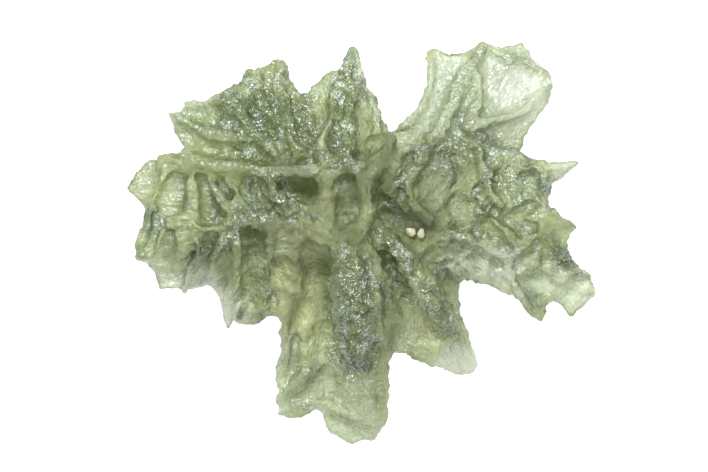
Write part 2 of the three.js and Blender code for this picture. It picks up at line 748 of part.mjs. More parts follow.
// Channels and hollows are etched into the face. Each place is [x, y, radius, depth below the face].
// Where the glass is thin, they take only a share of its thickness.
const FACE_SHARE = 0.4;
const CHANNELS = [
  {
    name: "deep hollow under the long ledge",
    places: [[-5.4, 4.2, 0.9, 1.6], [-4.2, 4.0, 1.1, 2.1]],
  },
  {
    name: "hollow between the third rib and the deep hollow",
    places: [[-8.6, 4.3, 0.45, 0.6], [-7.8, 3.4, 0.55, 0.7], [-7.1, 2.8, 0.45, 0.5]],
  },
  {
    name: "small dark triangle",
    places: [[-10.4, 4.5, 0.35, 0.6], [-9.7, 3.8, 0.4, 0.7]],
  },
  {
    name: "first flute of the left lobe",
    places: [
      [-13.6, 4.7, 0.5, 0.7],
      [-13.8, 3.7, 0.65, 0.9],
      [-14.3, 2.8, 0.7, 0.8],
      [-13.7, 2.5, 0.5, 0.7],
    ],
  },
  {
    name: "second flute of the left lobe",
    places: [
      [-11.7, 4.6, 0.4, 0.7],
      [-11.45, 3.6, 0.55, 0.9],
      [-11.2, 2.5, 0.65, 0.9],
      [-10.8, 1.9, 0.55, 0.7],
    ],
  },
  {
    name: "shallow dish of the left tip",
    places: [[-16.3, 4.9, 1.1, 0.25], [-16.1, 4.2, 1.0, 0.2]],
  },
  {
    name: "wedge between the left and short lobes",
    places: [[-11.4, 0.4, 0.55, 0.5], [-11.5, -0.4, 0.45, 0.5], [-11.8, -1.2, 0.3, 0.4]],
  },
  {
    name: "pit left of the lower left mound",
    places: [[-14.4, 0.7, 0.4, 0.5], [-14.5, 0, 0.4, 0.4]],
  },
  {
    name: "dark pit inside the left rim",
    places: [[-15.3, 2, 0.35, 0.5], [-14.9, 1.5, 0.3, 0.4]],
  },
  {
    name: "groove of the lower left rim",
    places: [[-15, -0.9, 0.5, 0.3], [-14.3, -2.4, 0.5, 0.3]],
  },
  {
    name: "channel of the short lobe",
    places: [
      [-8.1, 0.8, 0.8, 1.3],
      [-7.9, -0.8, 0.9, 1.2],
      [-8.2, -2.7, 0.9, 0.9],
      [-8.4, -4.6, 0.8, 0.6],
    ],
  },
  {
    name: "thin groove in the smooth shoulder",
    places: [[-6.4, -1.5, 0.35, 0.4], [-6.1, -3.1, 0.35, 0.4]],
  },
  {
    name: "channel of the long bottom lobe",
    places: [
      [-4.0, -0.4, 0.8, 0.5],
      [-3.2, -3.0, 1.1, 1.0],
      [-2.9, -5.7, 1.1, 0.9],
      [-2.7, -7.6, 1.0, 0.6],
      [-3.4, -9.1, 0.8, 0.3],
    ],
  },
  {
    name: "dark pit beside the front prong",
    places: [[2.0, -1.2, 0.7, 1.0], [2.7, -2.2, 0.8, 1.2]],
  },
  {
    name: "channel of the lower right lobe",
    places: [[2.9, -3.5, 0.9, 0.9], [3.7, -4.8, 1.1, 1.0], [4.6, -7.0, 1.0, 0.6]],
  },
  {
    name: "recess that holds the sand",
    places: [[1.7, 3.0, 0.7, 1.0], [2.6, 2.0, 0.9, 1.7], [4.2, 0.8, 0.8, 1.1]],
  },
  {
    name: "smooth valley between the fan and the peak",
    places: [[-3.9, 10.9, 0.9, 0.6], [-3.5, 9.6, 1.1, 0.9], [-3.9, 8.1, 0.8, 0.6]],
  },
  {
    name: "first thin window of the fan",
    places: [[-12.1, 9.7, 0.8, 0.8], [-11.2, 9.6, 0.8, 0.8]],
  },
  {
    name: "second thin window of the fan",
    places: [[-8.2, 11.9, 0.6, 0.6], [-7.9, 12.4, 0.6, 0.5]],
  },
  {
    name: "left dish of the fan",
    places: [[-13.4, 8.2, 0.8, 0.5], [-12.6, 7.6, 0.8, 0.5]],
  },
  {
    name: "left dish of the peak",
    places: [[-2.8, 12.0, 0.5, 0.3], [-1.9, 12.6, 0.4, 0.25]],
  },
  {
    name: "right dish of the peak",
    places: [[0.2, 9.5, 0.7, 0.5], [0.4, 8.5, 0.7, 0.5]],
  },
  {
    name: "groove below the peak",
    places: [[1.3, 7.6, 0.5, 0.5], [-0.2, 6.6, 0.6, 0.6]],
  },
  {
    name: "groove between the diagonal crests",
    places: [[3.7, 6.2, 0.5, 0.6], [2.1, 4.8, 0.5, 0.7], [1.0, 3.6, 0.5, 0.6]],
  },
  {
    name: "groove left of the middle crest",
    places: [[-1.1, 4.4, 0.7, 0.6], [-1.1, 2.4, 0.7, 0.7]],
  },
  {
    name: "smooth dish of the right lobe",
    places: [[7.0, 5.2, 1.0, 0.7], [7.3, 3.3, 1.3, 1.0], [7.5, 1.9, 1.0, 0.7]],
  },
  {
    name: "inner dish of the right lobe",
    places: [[5.8, 5.6, 0.8, 0.6], [5.3, 3.8, 0.9, 0.7]],
  },
  {
    name: "flat facet of the right lobe",
    places: [[10.9, 5.3, 1.6, 0.4], [11.8, 3.6, 1.6, 0.45]],
  },
  {
    name: "dish inside the right thorn",
    places: [[11.2, 2.0, 0.7, 0.4], [12.4, 1.0, 0.7, 0.4]],
  },
  {
    name: "dish above the bumpy crest",
    places: [[8.8, 1.3, 0.7, 0.5], [10.0, 0.6, 0.6, 0.4]],
  },
  {
    name: "smooth hollow under the bumpy crest",
    places: [[6.6, -0.6, 0.8, 0.4], [8.2, -1.2, 0.8, 0.4], [9.7, -1.8, 0.7, 0.35]],
  },
  {
    name: "dish above the lowest thorn",
    places: [[12.8, -2.9, 0.8, 0.4], [13.5, -4.2, 0.7, 0.3]],
  },
  {
    name: "shallow dish of the lower right tip",
    places: [[15.7, -3.9, 0.9, 0.3], [16.5, -3.1, 0.8, 0.25]],
  },
  {
    name: "clear window of the pale lobe",
    places: [[10.5, 11.4, 1.5, 0.5], [12.0, 12.2, 1.5, 0.5]],
  },
  {
    name: "left hollow of the pale lobe",
    places: [[6.4, 13.6, 0.8, 0.3], [6.0, 11.6, 0.7, 0.35], [4.8, 9.0, 0.7, 0.35]],
  },
  {
    name: "lower hollow of the pale lobe",
    places: [[10.4, 7.9, 0.8, 0.4], [12.6, 9.0, 0.7, 0.25]],
  },
];

// Gaps part the forms of the stone. Each place is [x, y, z, radius].
const GAPS = [
  {
    name: "gap under the front prong",
    places: [[-0.4, -6.3, 6.7, 0.8], [-0.2, -8.4, 6.2, 1.2], [0.0, -11.4, 5.5, 1.6]],
  },
];

// The underside has a channel towards every few rim places of each lobe.
const UNDER_EVERY = 4;
const UNDER_FROM = 0.35; // where it starts and ends, as shares of the way from the root to the rim
const UNDER_TO = 0.95;
const UNDER_STEPS = 3;
const UNDER_RADIUS = 1.0;
const UNDER_DEPTH = 0.8;
const UNDER_SHARE = 0.3; // the most of the glass's thickness that it takes

// The small flat spot on which the stone rests is cut at z = 0, by a block below it.
const GROUND_BLOCK = 60;

// The sand grains lie at these places in the recess, a hair above the glass. Each has its size across,
// up the face and towards the viewer, as shares of the width of a grain.
const GRAINS = [
  { node: "sand_grain_left", place: [3.69, 0.84], shares: [1.0, 0.9, 0.85], seed: 11 },
  { node: "sand_grain_right", place: [4.48, 0.8], shares: [0.75, 1.0, 0.85], seed: 23 },
];
const GRAIN_GAP = 0.06;
const GRAIN_ROUGHNESS = 0.24; // how far its corners are drawn in, as a share of its radius

const GLASS_COLOUR = "#8d9a68";
const SAND_COLOUR = "#dcd9b6";

// A repeatable number from 0 to 1 for whole numbers i, j, k and a seed.
function hash(i, j, k, seed) {
  let h = (i * 374761393 + j * 668265263 + k * 2147483647 + seed * 974634777) | 0;
  h = Math.imul(h ^ (h >>> 13), 1274126177);
  h = Math.imul(h ^ (h >>> 15), 2246822519);
  return ((h ^ (h >>> 16)) >>> 0) / 4294967296;
}

// The squared distance, in cells, from a point to the nearest of scattered points, one to a cell.
function nearestScattered(x, y, z, seed) {
  const cx = Math.floor(x);
  const cy = Math.floor(y);
  const cz = Math.floor(z);
  let best = 9;
  for (let i = cx - 1; i <= cx + 1; i++)
    for (let j = cy - 1; j <= cy + 1; j++)
      for (let k = cz - 1; k <= cz + 1; k++) {
        const dx = i + hash(i, j, k, seed) - x;
        const dy = j + hash(i, j, k, seed + 1) - y;
        const dz = k + hash(i, j, k, seed + 2) - z;
        best = Math.min(best, dx * dx + dy * dy + dz * dz);
      }
  return best;
}

// The same in the plane, where the points keep nearer the middles of their cells.
function nearestInPlane(x, y, seed) {
  const cx = Math.floor(x);
  const cy = Math.floor(y);
  let best = 9;
  for (let i = cx - 1; i <= cx + 1; i++)
    for (let j = cy - 1; j <= cy + 1; j++) {
      const dx = i + 0.5 + FLUTE_SCATTER * (hash(i, j, 0, seed) - 0.5) - x;
      const dy = j + 0.5 + FLUTE_SCATTER * (hash(i, j, 1, seed) - 0.5) - y;
      best = Math.min(best, dx * dx + dy * dy);
    }
  return best;
}

// The box around a form's places, with room for its radii, and how far a point is outside it.
function boxAround(places, room) {
  const low = [0, 1, 2].map((axis) => Math.min(...places.map((place) => place[axis])) - room);
  const high = [0, 1, 2].map((axis) => Math.max(...places.map((place) => place[axis])) + room);
  return { low, high };
}

function gapToBox(p, { low, high }) {
  const x = Math.max(low[0] - p[0], 0, p[0] - high[0]);
  const y = Math.max(low[1] - p[1], 0, p[1] - high[1]);
  const z = Math.max(low[2] - p[2], 0, p[2] - high[2]);
  return Math.sqrt(x * x + y * y + z * z);
}

// A form's answer at a point: how far outside it the point is, and the half-thickness of glass there.
class Answer {
  constructor(distance, half) {
    this.distance = distance;
    this.half = half;
    this.sheet = Infinity; // how far outside the sheets in the middle of the blades
  }

  // Joins another form, rounding the seam over a width.
  join(distance, half, width) {
    const share = Math.min(1, Math.max(0, 0.5 + (0.5 * (distance - this.distance)) / width));
    this.distance = distance + (this.distance - distance) * share - width * share * (1 - share);
    this.half = half + (this.half - half) * share;
  }

  // Cuts a form away, rounding the edge over a width.
  cut(distance, width) {
    const share = Math.min(1, Math.max(0, 0.5 - (0.5 * (distance + this.distance)) / width));
    this.distance += (-distance - this.distance) * share + width * share * (1 - share);
  }
}

function ellipsoidDistance(p, { centre, radii }) {
  const x = (p[0] - centre[0]) / radii[0];
  const y = (p[1] - centre[1]) / radii[1];
  const z = (p[2] - centre[2]) / radii[2];
  const level = Math.hypot(x, y, z);
  const slope = Math.hypot(x / radii[0], y / radii[1], z / radii[2]);
  return slope < 1e-9 ? -Math.min(...radii) : (level * (level - 1)) / slope;
}

// Distance to a chain of tapered rods, and the rod's radius at the nearest place. With a skirt, the
// chain is a wall that reaches that far down.
function chainDistance(p, places, skirt = 0) {
  let best = Infinity;
  let radius = 0;
  for (let i = 0; i + 1 < places.length; i++) {
    const a = places[i];
    const b = places[i + 1];
    const abx = b[0] - a[0];
    const aby = b[1] - a[1];
    const abz = b[2] - a[2];
    const dot = (p[0] - a[0]) * abx + (p[1] - a[1]) * aby + (p[2] - a[2]) * abz;
    const t = Math.min(1, Math.max(0, dot / (abx * abx + aby * aby + abz * abz)));
    const r = a[3] + (b[3] - a[3]) * t;
    const dx = p[0] - a[0] - abx * t;
    const dy = p[1] - a[1] - aby * t;
    const up = p[2] - a[2] - abz * t;
    const dz = Math.max(up, Math.min(0, up + skirt));
    const d = Math.sqrt(dx * dx + dy * dy + dz * dz) - r;
    if (d < best) {
      best = d;
      radius = r;
    }
  }
  return [best, radius];
}

// The share of each corner at the point of triangle a, b, c that is nearest to p.
function nearestShares(p, a, b, c) {
  const sub = (u, v) => [u[0] - v[0], u[1] - v[1], u[2] - v[2]];
  const dot = (u, v) => u[0] * v[0] + u[1] * v[1] + u[2] * v[2];
  const ab = sub(b, a);
  const ac = sub(c, a);
  const ap = sub(p, a);
  const d1 = dot(ab, ap);
  const d2 = dot(ac, ap);
  if (d1 <= 0 && d2 <= 0) return [1, 0, 0];
  const bp = sub(p, b);
  const d3 = dot(ab, bp);
  const d4 = dot(ac, bp);
  if (d3 >= 0 && d4 <= d3) return [0, 1, 0];
  const vc = d1 * d4 - d3 * d2;
  if (vc <= 0 && d1 >= 0 && d3 <= 0) {
    const t = d1 / (d1 - d3);
    return [1 - t, t, 0];
  }
  const cp = sub(p, c);
  const d5 = dot(ab, cp);
  const d6 = dot(ac, cp);
  if (d6 >= 0 && d5 <= d6) return [0, 0, 1];
  const vb = d5 * d2 - d1 * d6;
  if (vb <= 0 && d2 >= 0 && d6 <= 0) {
    const t = d2 / (d2 - d6);
    return [1 - t, 0, t];
  }
  const va = d3 * d6 - d5 * d4;
  if (va <= 0 && d4 - d3 >= 0 && d5 - d6 >= 0) {
    const t = (d4 - d3) / (d4 - d3 + (d5 - d6));
    return [0, 1 - t, t];
  }
  const sum = va + vb + vc;
  return [va / sum, vb / sum, vc / sum];
}

// The plan outline of a lobe: its rim, carried on past both ends and closed well behind its root.
function planOutline({ root, rim }) {
  const towards = (a, b) => {
    const length = Math.hypot(b[0] - a[0], b[1] - a[1]);
    return [(b[0] - a[0]) / length, (b[1] - a[1]) / length];
  };
  const moved = (a, by, distance) => [a[0] + by[0] * distance, a[1] + by[1] * distance];
  const first = moved(rim[0], towards(rim[1], rim[0]), PAST_THE_ENDS);
  const last = moved(rim.at(-1), towards(rim.at(-2), rim.at(-1)), PAST_THE_ENDS);
  const out = towards(root, rim[Math.floor(rim.length / 2)]);
  const side = [-out[1], out[0]];
  const back = moved(root, out, -BEHIND_THE_ROOT);
  const turn = (first[0] - root[0]) * out[1] - (first[1] - root[1]) * out[0] > 0 ? 1 : -1;
  return [
    first,
    ...rim,
    last,
    moved(back, side, turn * BESIDE_THE_ROOT),
    moved(back, side, -turn * BESIDE_THE_ROOT),
  ];
}

// How far a place is outside a closed outline in plan: below nought is inside.
function outlineDistance(x, y, outline) {
  let best = Infinity;
  let inside = false;
  for (let i = 0; i < outline.length; i++) {
    const a = outline[i];
    const b = outline[(i + 1) % outline.length];
    const ex = b[0] - a[0];
    const ey = b[1] - a[1];
    const t = Math.min(1, Math.max(0, ((x - a[0]) * ex + (y - a[1]) * ey) / (ex * ex + ey * ey)));
    const dx = x - a[0] - ex * t;
    const dy = y - a[1] - ey * t;
    best = Math.min(best, dx * dx + dy * dy);
    if (a[1] > y !== b[1] > y && x < a[0] + (ex * (y - a[1])) / ey) inside = !inside;
  }
  return inside ? -Math.sqrt(best) : Math.sqrt(best);
}

// How deep the flutes of a lobe's face or underside are at a point: 1 in the middle of a flute, and 0
// on the sharp crests between them.
function fluteShare(p, lobe, upper) {
  const x = p[0] - lobe.root[0];
  const y = p[1] - lobe.root[1];
  const out = Math.log(Math.max(0.5, Math.hypot(x, y))) / FLUTE_STRETCH;
  const seed = upper ? lobe.faceSeed : lobe.undersideSeed;
  const across = Math.atan2(y, x) / FLUTE_ANGLE + FLUTE_SWAY * Math.sin(out * FLUTE_SWAYS + seed);
  return Math.max(0, 1 - FLUTE_STEEPNESS * nearestInPlane(across, out, seed));
}

// Distance to a lobe's blade, and half its thickness at the nearest place.
function lobeDistance(p, lobe, fluted) {
  let best = Infinity;
  let half = 0;
  let above = 0;
  let middle = Infinity;
  for (let i = 0; i + 1 < lobe.rim.length; i++) {
    const a = lobe.root;
    const b = lobe.rim[i];
    const c = lobe.rim[i + 1];
    const [u, v, w] = nearestShares(p, a, b, c);
    const dx = a[0] * u + b[0] * v + c[0] * w - p[0];
    const dy = a[1] * u + b[1] * v + c[1] * w - p[1];
    const dz = a[2] * u + b[2] * v + c[2] * w - p[2];
    const thick = lobe.rimHalf + (lobe.rootHalf - lobe.rimHalf) * u ** lobe.swell;
    const away = Math.sqrt(dx * dx + dy * dy + dz * dz);
    middle = Math.min(middle, away);
    if (away - thick < best) {
      best = away - thick;
      half = thick;
      above = -dz;
    }
  }
  if (fluted && best < 2 * FLUTE_DEPTH)
    best += Math.min(FLUTE_DEPTH, THIN_SHARE * half) * fluteShare(p, lobe, above > 0);
  const blade = new Answer(best, half);
  const past = outlineDistance(p[0], p[1], lobe.outline);
  blade.cut(-past, RIM_BLEND);
  blade.sheet = Math.max(middle - SHEET_HALF, past);
  return blade;
}

function chainInBox(places) {
  const room = Math.max(...places.map((place) => place[3])) + CREST_SKIRT;
  return { places, box: boxAround(places, room) };
}

const BLADES = LOBES.map((lobe, i) => ({
  ...lobe,
  faceSeed: FACE_SEED + i,
  undersideSeed: UNDERSIDE_SEED + i,
  outline: planOutline(lobe),
  box: boxAround([lobe.root, ...lobe.rim], lobe.rootHalf),
}));
const RODS = PRONGS.map(({ places }) => chainInBox(places));

// The stone without its relief: the heart, the lobes and the prongs. A form too far away to change
// the answer is passed over.
function body(p, fluted) {
  const answer = new Answer(ellipsoidDistance(p, HEART[0]), Math.min(...HEART[0].radii));
  for (const part of HEART.slice(1))
    answer.join(ellipsoidDistance(p, part), Math.min(...part.radii), LOBE_BLEND);
  for (const blade of BLADES)
    if (gapToBox(p, blade.box) < answer.distance + LOBE_BLEND) {
      const { distance, half, sheet } = lobeDistance(p, blade, fluted);
      answer.join(distance, half, LOBE_BLEND);
      answer.sheet = Math.min(answer.sheet, sheet);
    }
  for (const rod of RODS)
    if (gapToBox(p, rod.box) < answer.distance + RIDGE_BLEND)
      answer.join(...chainDistance(p, rod.places), RIDGE_BLEND);
  return answer;
}

// The height at which the face or the underside of the stone without its relief lies at x, y, found
// by coming down on it or up to it. Off the stone it is the nearest height that the way passes.
function faceHeight(x, y, from) {
  const way = from > 0 ? -1 : 1;
  let z = from;
  let nearest = Infinity;
  let height = from;
  while (Math.abs(z - from) < 2 * CLEAR_HEIGHT) {
    const { distance } = body([x, y, z], false);
    if (distance < nearest) {
      nearest = distance;
      height = z;
    }
    if (distance < CLOSE_ENOUGH) break;
    z += way * Math.max(CLOSE_ENOUGH, CAREFUL_SHARE * distance);
  }
  return height;
}

// A chain that follows the face, given as [x, y, radius, amount]. A rule gives the height of its
// middle above the face from its radius, the amount and the glass's thickness there.
function onFace(places, liftOf) {
  const followed = [];
  for (let i = 0; i + 1 < places.length; i++) {
    const [a, b] = [places[i], places[i + 1]];
    const steps = Math.ceil(Math.hypot(b[0] - a[0], b[1] - a[1]) / FOLLOWING_STEP);
    for (let step = i ? 1 : 0; step <= steps; step++) {
      const [x, y, radius, amount] = a.map((value, at) => value + ((b[at] - value) * step) / steps);
      const face = faceHeight(x, y, CLEAR_HEIGHT);
      const thickness = Math.max(0, face - faceHeight(x, y, -CLEAR_HEIGHT));
      followed.push([x, y, face + liftOf(radius, amount, thickness), radius]);
    }
  }
  return followed;
}

const crestLift = (radius, rise) => rise - radius;
const channelLift = (radius, depth, thickness) => radius - Math.min(depth, FACE_SHARE * thickness);

function undersideChannels(lobe) {
  const channels = [];
  for (let i = Math.floor(UNDER_EVERY / 2); i < lobe.rim.length; i += UNDER_EVERY) {
    const places = [];
    for (let step = 0; step <= UNDER_STEPS; step++) {
      const share = UNDER_FROM + ((UNDER_TO - UNDER_FROM) * step) / UNDER_STEPS;
      const [x, y] = lobe.root.map((value, axis) => value + (lobe.rim[i][axis] - value) * share);
      const low = faceHeight(x, y, -CLEAR_HEIGHT);
      const thickness = Math.max(0, faceHeight(x, y, CLEAR_HEIGHT) - low);
      const depth = Math.min(UNDER_DEPTH, UNDER_SHARE * thickness);
      places.push([x, y, low + depth - UNDER_RADIUS, UNDER_RADIUS]);
    }
    channels.push(places);
  }
  return channels;
}

const RELIEF = CRESTS.map(({ places }) => onFace(places, crestLift)).map(chainInBox);
const HOLLOWS = [
  ...CHANNELS.map(({ places }) => onFace(places, channelLift)),
  ...GAPS.map(({ places }) => places),
  ...LOBES.flatMap(undersideChannels),
].map(chainInBox);

// How far outside the glass a point is: below nought is inside.
function glass(p) {
  const answer = body(p, true);
  for (const crest of RELIEF)
    if (gapToBox(p, crest.box) < answer.distance + RIDGE_BLEND)
      answer.join(...chainDistance(p, crest.places, CREST_SKIRT), RIDGE_BLEND);
  for (const hollow of HOLLOWS)
    if (gapToBox(p, hollow.box) < CHANNEL_BLEND - answer.distance)
      answer.cut(chainDistance(p, hollow.places)[0], CHANNEL_BLEND);
  if (Math.abs(answer.distance) > 3 * SCALLOP_DEPTH) return Math.min(answer.distance, answer.sheet);
  const [x, y, z] = p.map((value) => value / SCALLOP_SIZE);
  const hollow = Math.max(0, 1 - SCALLOP_STEEPNESS * nearestScattered(x, y, z, SCALLOP_SEED));
  const depth = SCALLOP_DEPTH * Math.min(1, answer.half / FULL_DEPTH_AT);
  return Math.min(answer.distance + depth * (hollow - SCALLOP_LEVEL), answer.sheet);
}

// The corners of a cube's six tetrahedra, as steps along the axes, all facing the same way.
function cubeTetrahedra() {
  const orders = [[0, 1, 2], [1, 2, 0], [2, 0, 1], [0, 2, 1], [2, 1, 0], [1, 0, 2]];
  return orders.map(([a, b], i) => {
    const one = [0, 0, 0];
    one[a] = 1;
    const two = [...one];
    two[b] = 1;
    const corners = [[0, 0, 0], one, two, [1, 1, 1]];
    return i < 3 ? corners : [corners[0], corners[1], corners[3], corners[2]];
  });
}

// The faces in which a tetrahedron meets the surface, by which of its corners are inside.
// Each face lists pairs of corners, and the surface crosses the edge between each pair.
function tetrahedronFaces(inside) {
  const within = [0, 1, 2, 3].filter((i) => inside[i]);
  const alone = { 0: [0, 1, 2, 3], 1: [1, 0, 3, 2], 2: [2, 3, 0, 1], 3: [3, 2, 1, 0] };
  if (within.length === 1) {
    const [a, b, c, d] = alone[within[0]];
    return [[[a, b], [a, c], [a, d]]];
  }
  if (within.length === 3) {
    const [a, b, c, d] = alone[[0, 1, 2, 3].find((i) => !inside[i])];
    return [[[a, c], [a, b], [a, d]]];
  }
  const pairs = {
    "0,1": [0, 1, 2, 3],
    "0,2": [0, 2, 3, 1],
    "0,3": [0, 3, 1, 2],
    "1,2": [1, 2, 0, 3],
    "1,3": [1, 3, 2, 0],
    "2,3": [2, 3, 0, 1],
  };
  const [a, b, c, d] = pairs[within.join()];
  return [
    [[a, c], [a, d], [b, d]],
    [[a, c], [b, d], [b, c]],
  ];
}

// The surface where a field crosses nought, inside a box, as points and triangles.
function surfaceOf(field, low, high, step) {
  const count = low.map((value, axis) => Math.ceil((high[axis] - value) / step) + 1);
  const place = (i, j, k) => [low[0] + i * step, low[1] + j * step, low[2] + k * step];
  const index = (i, j, k) => (k * count[1] + j) * count[0] + i;
  const values = new Float64Array(count[0] * count[1] * count[2]);
  for (let k = 0; k < count[2]; k++)
    for (let j = 0; j < count[1]; j++)
      for (let i = 0; i < count[0]; i++) {
        const value = field(place(i, j, k));
        values[index(i, j, k)] = Math.abs(value) < CLEAR_OF_GRID ? CLEAR_OF_GRID : value;
      }
  const tetrahedra = cubeTetrahedra();
  const points = [];
  const triangles = [];
  const known = new Map();
  const crossing = (a, b) => {
    const [ia, ib] = [index(...a), index(...b)];
    const key = Math.min(ia, ib) * values.length + Math.max(ia, ib);
    if (!known.has(key)) {
      const t = values[ia] / (values[ia] - values[ib]);
      const [pa, pb] = [place(...a), place(...b)];
      known.set(key, points.length / 3);
      points.push(...pa.map((value, axis) => value + (pb[axis] - value) * t));
    }
    return known.get(key);
  };
  for (let k = 0; k + 1 < count[2]; k++)
    for (let j = 0; j + 1 < count[1]; j++)
      for (let i = 0; i + 1 < count[0]; i++)
        for (const corners of tetrahedra) {
          const at = corners.map(([x, y, z]) => [i + x, j + y, k + z]);
          const inside = at.map((corner) => values[index(...corner)] < 0);
          const within = inside.filter(Boolean).length;
          if (within === 0 || within === 4) continue;
          for (const face of tetrahedronFaces(inside))
            triangles.push(...face.map(([a, b]) => crossing(at[a], at[b])));
        }
  return { points, triangles };
}

// The least cost of a place for a joined point, by the squared distances to the planes it has met.
class Planes {
  constructor() {
    this.sums = new Float64Array(10);
  }

  addPlane(nx, ny, nz, offset, weight) {
    const plane = [nx, ny, nz, offset];
    let at = 0;
    for (let i = 0; i < 4; i++)
      for (let j = i; j < 4; j++) this.sums[at++] += weight * plane[i] * plane[j];
  }

  add(other) {
    for (let i = 0; i < 10; i++) this.sums[i] += other.sums[i];
  }

  cost([x, y, z]) {
    const [a, b, c, d, e, f, g, h, i, j] = this.sums;
    return (
      a * x * x + 2 * b * x * y + 2 * c * x * z + 2 * d * x +
      e * y * y + 2 * f * y * z + 2 * g * y + h * z * z + 2 * i * z + j
    );
  }

  // The place of least cost, or null where the planes don't fix one.
  best() {
    const [a, b, c, d, e, f, g, h, i] = this.sums;
    const det = a * (e * h - f * f) - b * (b * h - f * c) + c * (b * f - e * c);
    if (Math.abs(det) < FLAT_PLANES * (a + e + h) ** 3) return null;
    return [
      -(d * (e * h - f * f) - b * (g * h - f * i) + c * (g * f - e * i)) / det,
      -(a * (g * h - f * i) - d * (b * h - f * c) + c * (b * i - g * c)) / det,
      -(a * (e * i - g * f) - b * (b * i - g * c) + d * (b * f - e * c)) / det,
    ];
  }
}

// A queue that gives its cheapest entry first.
class CheapestFirst {
  constructor() {
    this.entries = [];
  }

  push(entry) {
    const heap = this.entries;
    let at = heap.length;
    heap.push(entry);
    while (at > 0) {
      const up = (at - 1) >> 1;
      if (heap[up].cost <= entry.cost) break;
      heap[at] = heap[up];
      at = up;
    }
    heap[at] = entry;
  }

  pop() {
    const heap = this.entries;
    const top = heap[0];
    const last = heap.pop();
    if (!heap.length) return top;
    let at = 0;
    for (;;) {
      let down = 2 * at + 1;
      if (down >= heap.length) break;
      if (down + 1 < heap.length && heap[down + 1].cost < heap[down].cost) down++;
      if (heap[down].cost >= last.cost) break;
      heap[at] = heap[down];
      at = down;
    }
    heap[at] = last;
    return top;
  }
}

function faceNormal(a, b, c) {
  const ux = b[0] - a[0];
  const uy = b[1] - a[1];
  const uz = b[2] - a[2];
  const vx = c[0] - a[0];
  const vy = c[1] - a[1];
  const vz = c[2] - a[2];
  return [uy * vz - uz * vy, uz * vx - ux * vz, ux * vy - uy * vx];
}

// Joins neighbouring points, those that change the shape least first, until few triangles are left.
function simplified({ points, triangles }, target) {
  const total = points.length / 3;
  const place = Array.from({ length: total }, (_, v) => points.slice(3 * v, 3 * v + 3));
  const faces = [];
  for (let i = 0; i < triangles.length; i += 3) faces.push(triangles.slice(i, i + 3));
  const around = Array.from({ length: total }, () => new Set());
  const planes = Array.from({ length: total }, () => new Planes());
  const changes = new Int32Array(total);
  faces.forEach((face, f) => {
    const normal = faceNormal(...face.map((v) => place[v]));
    const area = Math.hypot(...normal);
    for (const v of face) {
      around[v].add(f);
      if (area < NO_AREA ** 2) continue;
      const [nx, ny, nz] = normal.map((value) => value / area);
      const [x, y, z] = place[face[0]];
      planes[v].addPlane(nx, ny, nz, -(nx * x + ny * y + nz * z), area);
    }
  });
  const neighbours = (v) => {
    const found = new Set();
    for (const f of around[v]) for (const w of faces[f]) if (w !== v) found.add(w);
    return found;
  };
  const queue = new CheapestFirst();
  const offer = (a, b) => {
    const sum = new Planes();
    sum.add(planes[a]);
    sum.add(planes[b]);
    const [pa, pb] = [place[a], place[b]];
    const middle = pa.map((value, axis) => (value + pb[axis]) / 2);
    const length = Math.hypot(...pa.map((value, axis) => value - pb[axis]));
    const fixed = sum.best();
    const away = fixed ? Math.hypot(...fixed.map((value, axis) => value - middle[axis])) : Infinity;
    const to = away < FARTHEST_JOIN * length ? fixed : middle;
    const cost = sum.cost(to) + LENGTH_COST * length * length;
    queue.push({ cost, a, b, to, stamp: changes[a] + changes[b] });
  };
  const flips = (v, other, to) => {
    for (const f of around[v]) {
      if (faces[f].includes(other)) continue;
      const before = faceNormal(...faces[f].map((w) => place[w]));
      const after = faceNormal(...faces[f].map((w) => (w === v ? to : place[w])));
      const sizes = Math.hypot(...before) * Math.hypot(...after);
      const agree = before[0] * after[0] + before[1] * after[1] + before[2] * after[2];
      if (agree < KEPT_FACING * sizes || Math.hypot(...after) < NO_AREA) return true;
    }
    return false;
  };
  for (let v = 0; v < total; v++) for (const w of neighbours(v)) if (v < w) offer(v, w);
  let left = faces.length;
  while (left > target && queue.entries.length) {
    const { a, b, to, stamp } = queue.pop();
    if (!around[a].size || !around[b].size || stamp !== changes[a] + changes[b]) continue;
    const near = neighbours(b);
    const shared = [...neighbours(a)].filter((v) => near.has(v));
    if (shared.length !== 2 || !near.has(a) || flips(a, b, to) || flips(b, a, to)) continue;
    for (const f of around[b]) {
      if (faces[f].includes(a)) {
        for (const v of faces[f]) if (v !== b) around[v].delete(f);
        left--;
      } else {
        faces[f] = faces[f].map((v) => (v === b ? a : v));
        around[a].add(f);
      }
    }
    around[b].clear();
    planes[a].add(planes[b]);
    place[a] = to;
    changes[a]++;
    for (const v of neighbours(a)) offer(a, v);
  }
  const kept = [...new Set(around.flatMap((set) => [...set]))];
  return { points: place.flat(), triangles: kept.flatMap((f) => faces[f]) };
}

function geometryOf({ points, triangles }) {
  const geometry = new THREE.BufferGeometry();
  geometry.setAttribute("position", new THREE.Float32BufferAttribute(points, 3));
  geometry.setIndex(triangles);
  return geometry;
}

const wasm = await Module();
wasm.setup();

function solidOf(geometry) {
  const bare = geometry.clone();
  bare.deleteAttribute("normal");
  bare.deleteAttribute("uv");
  const merged = mergeVertices(bare, MERGE_WITHIN);
  return new wasm.Manifold(
    new wasm.Mesh({
      numProp: 3,
      vertProperties: new Float32Array(merged.attributes.position.array),
      triVerts: new Uint32Array(merged.index.array),
    }),
  );
}

function geometryOfSolid(solid) {
  const mesh = solid.getMesh();
  return geometryOf({
    points: Array.from(mesh.vertProperties),
    triangles: Array.from(mesh.triVerts),
  });
}

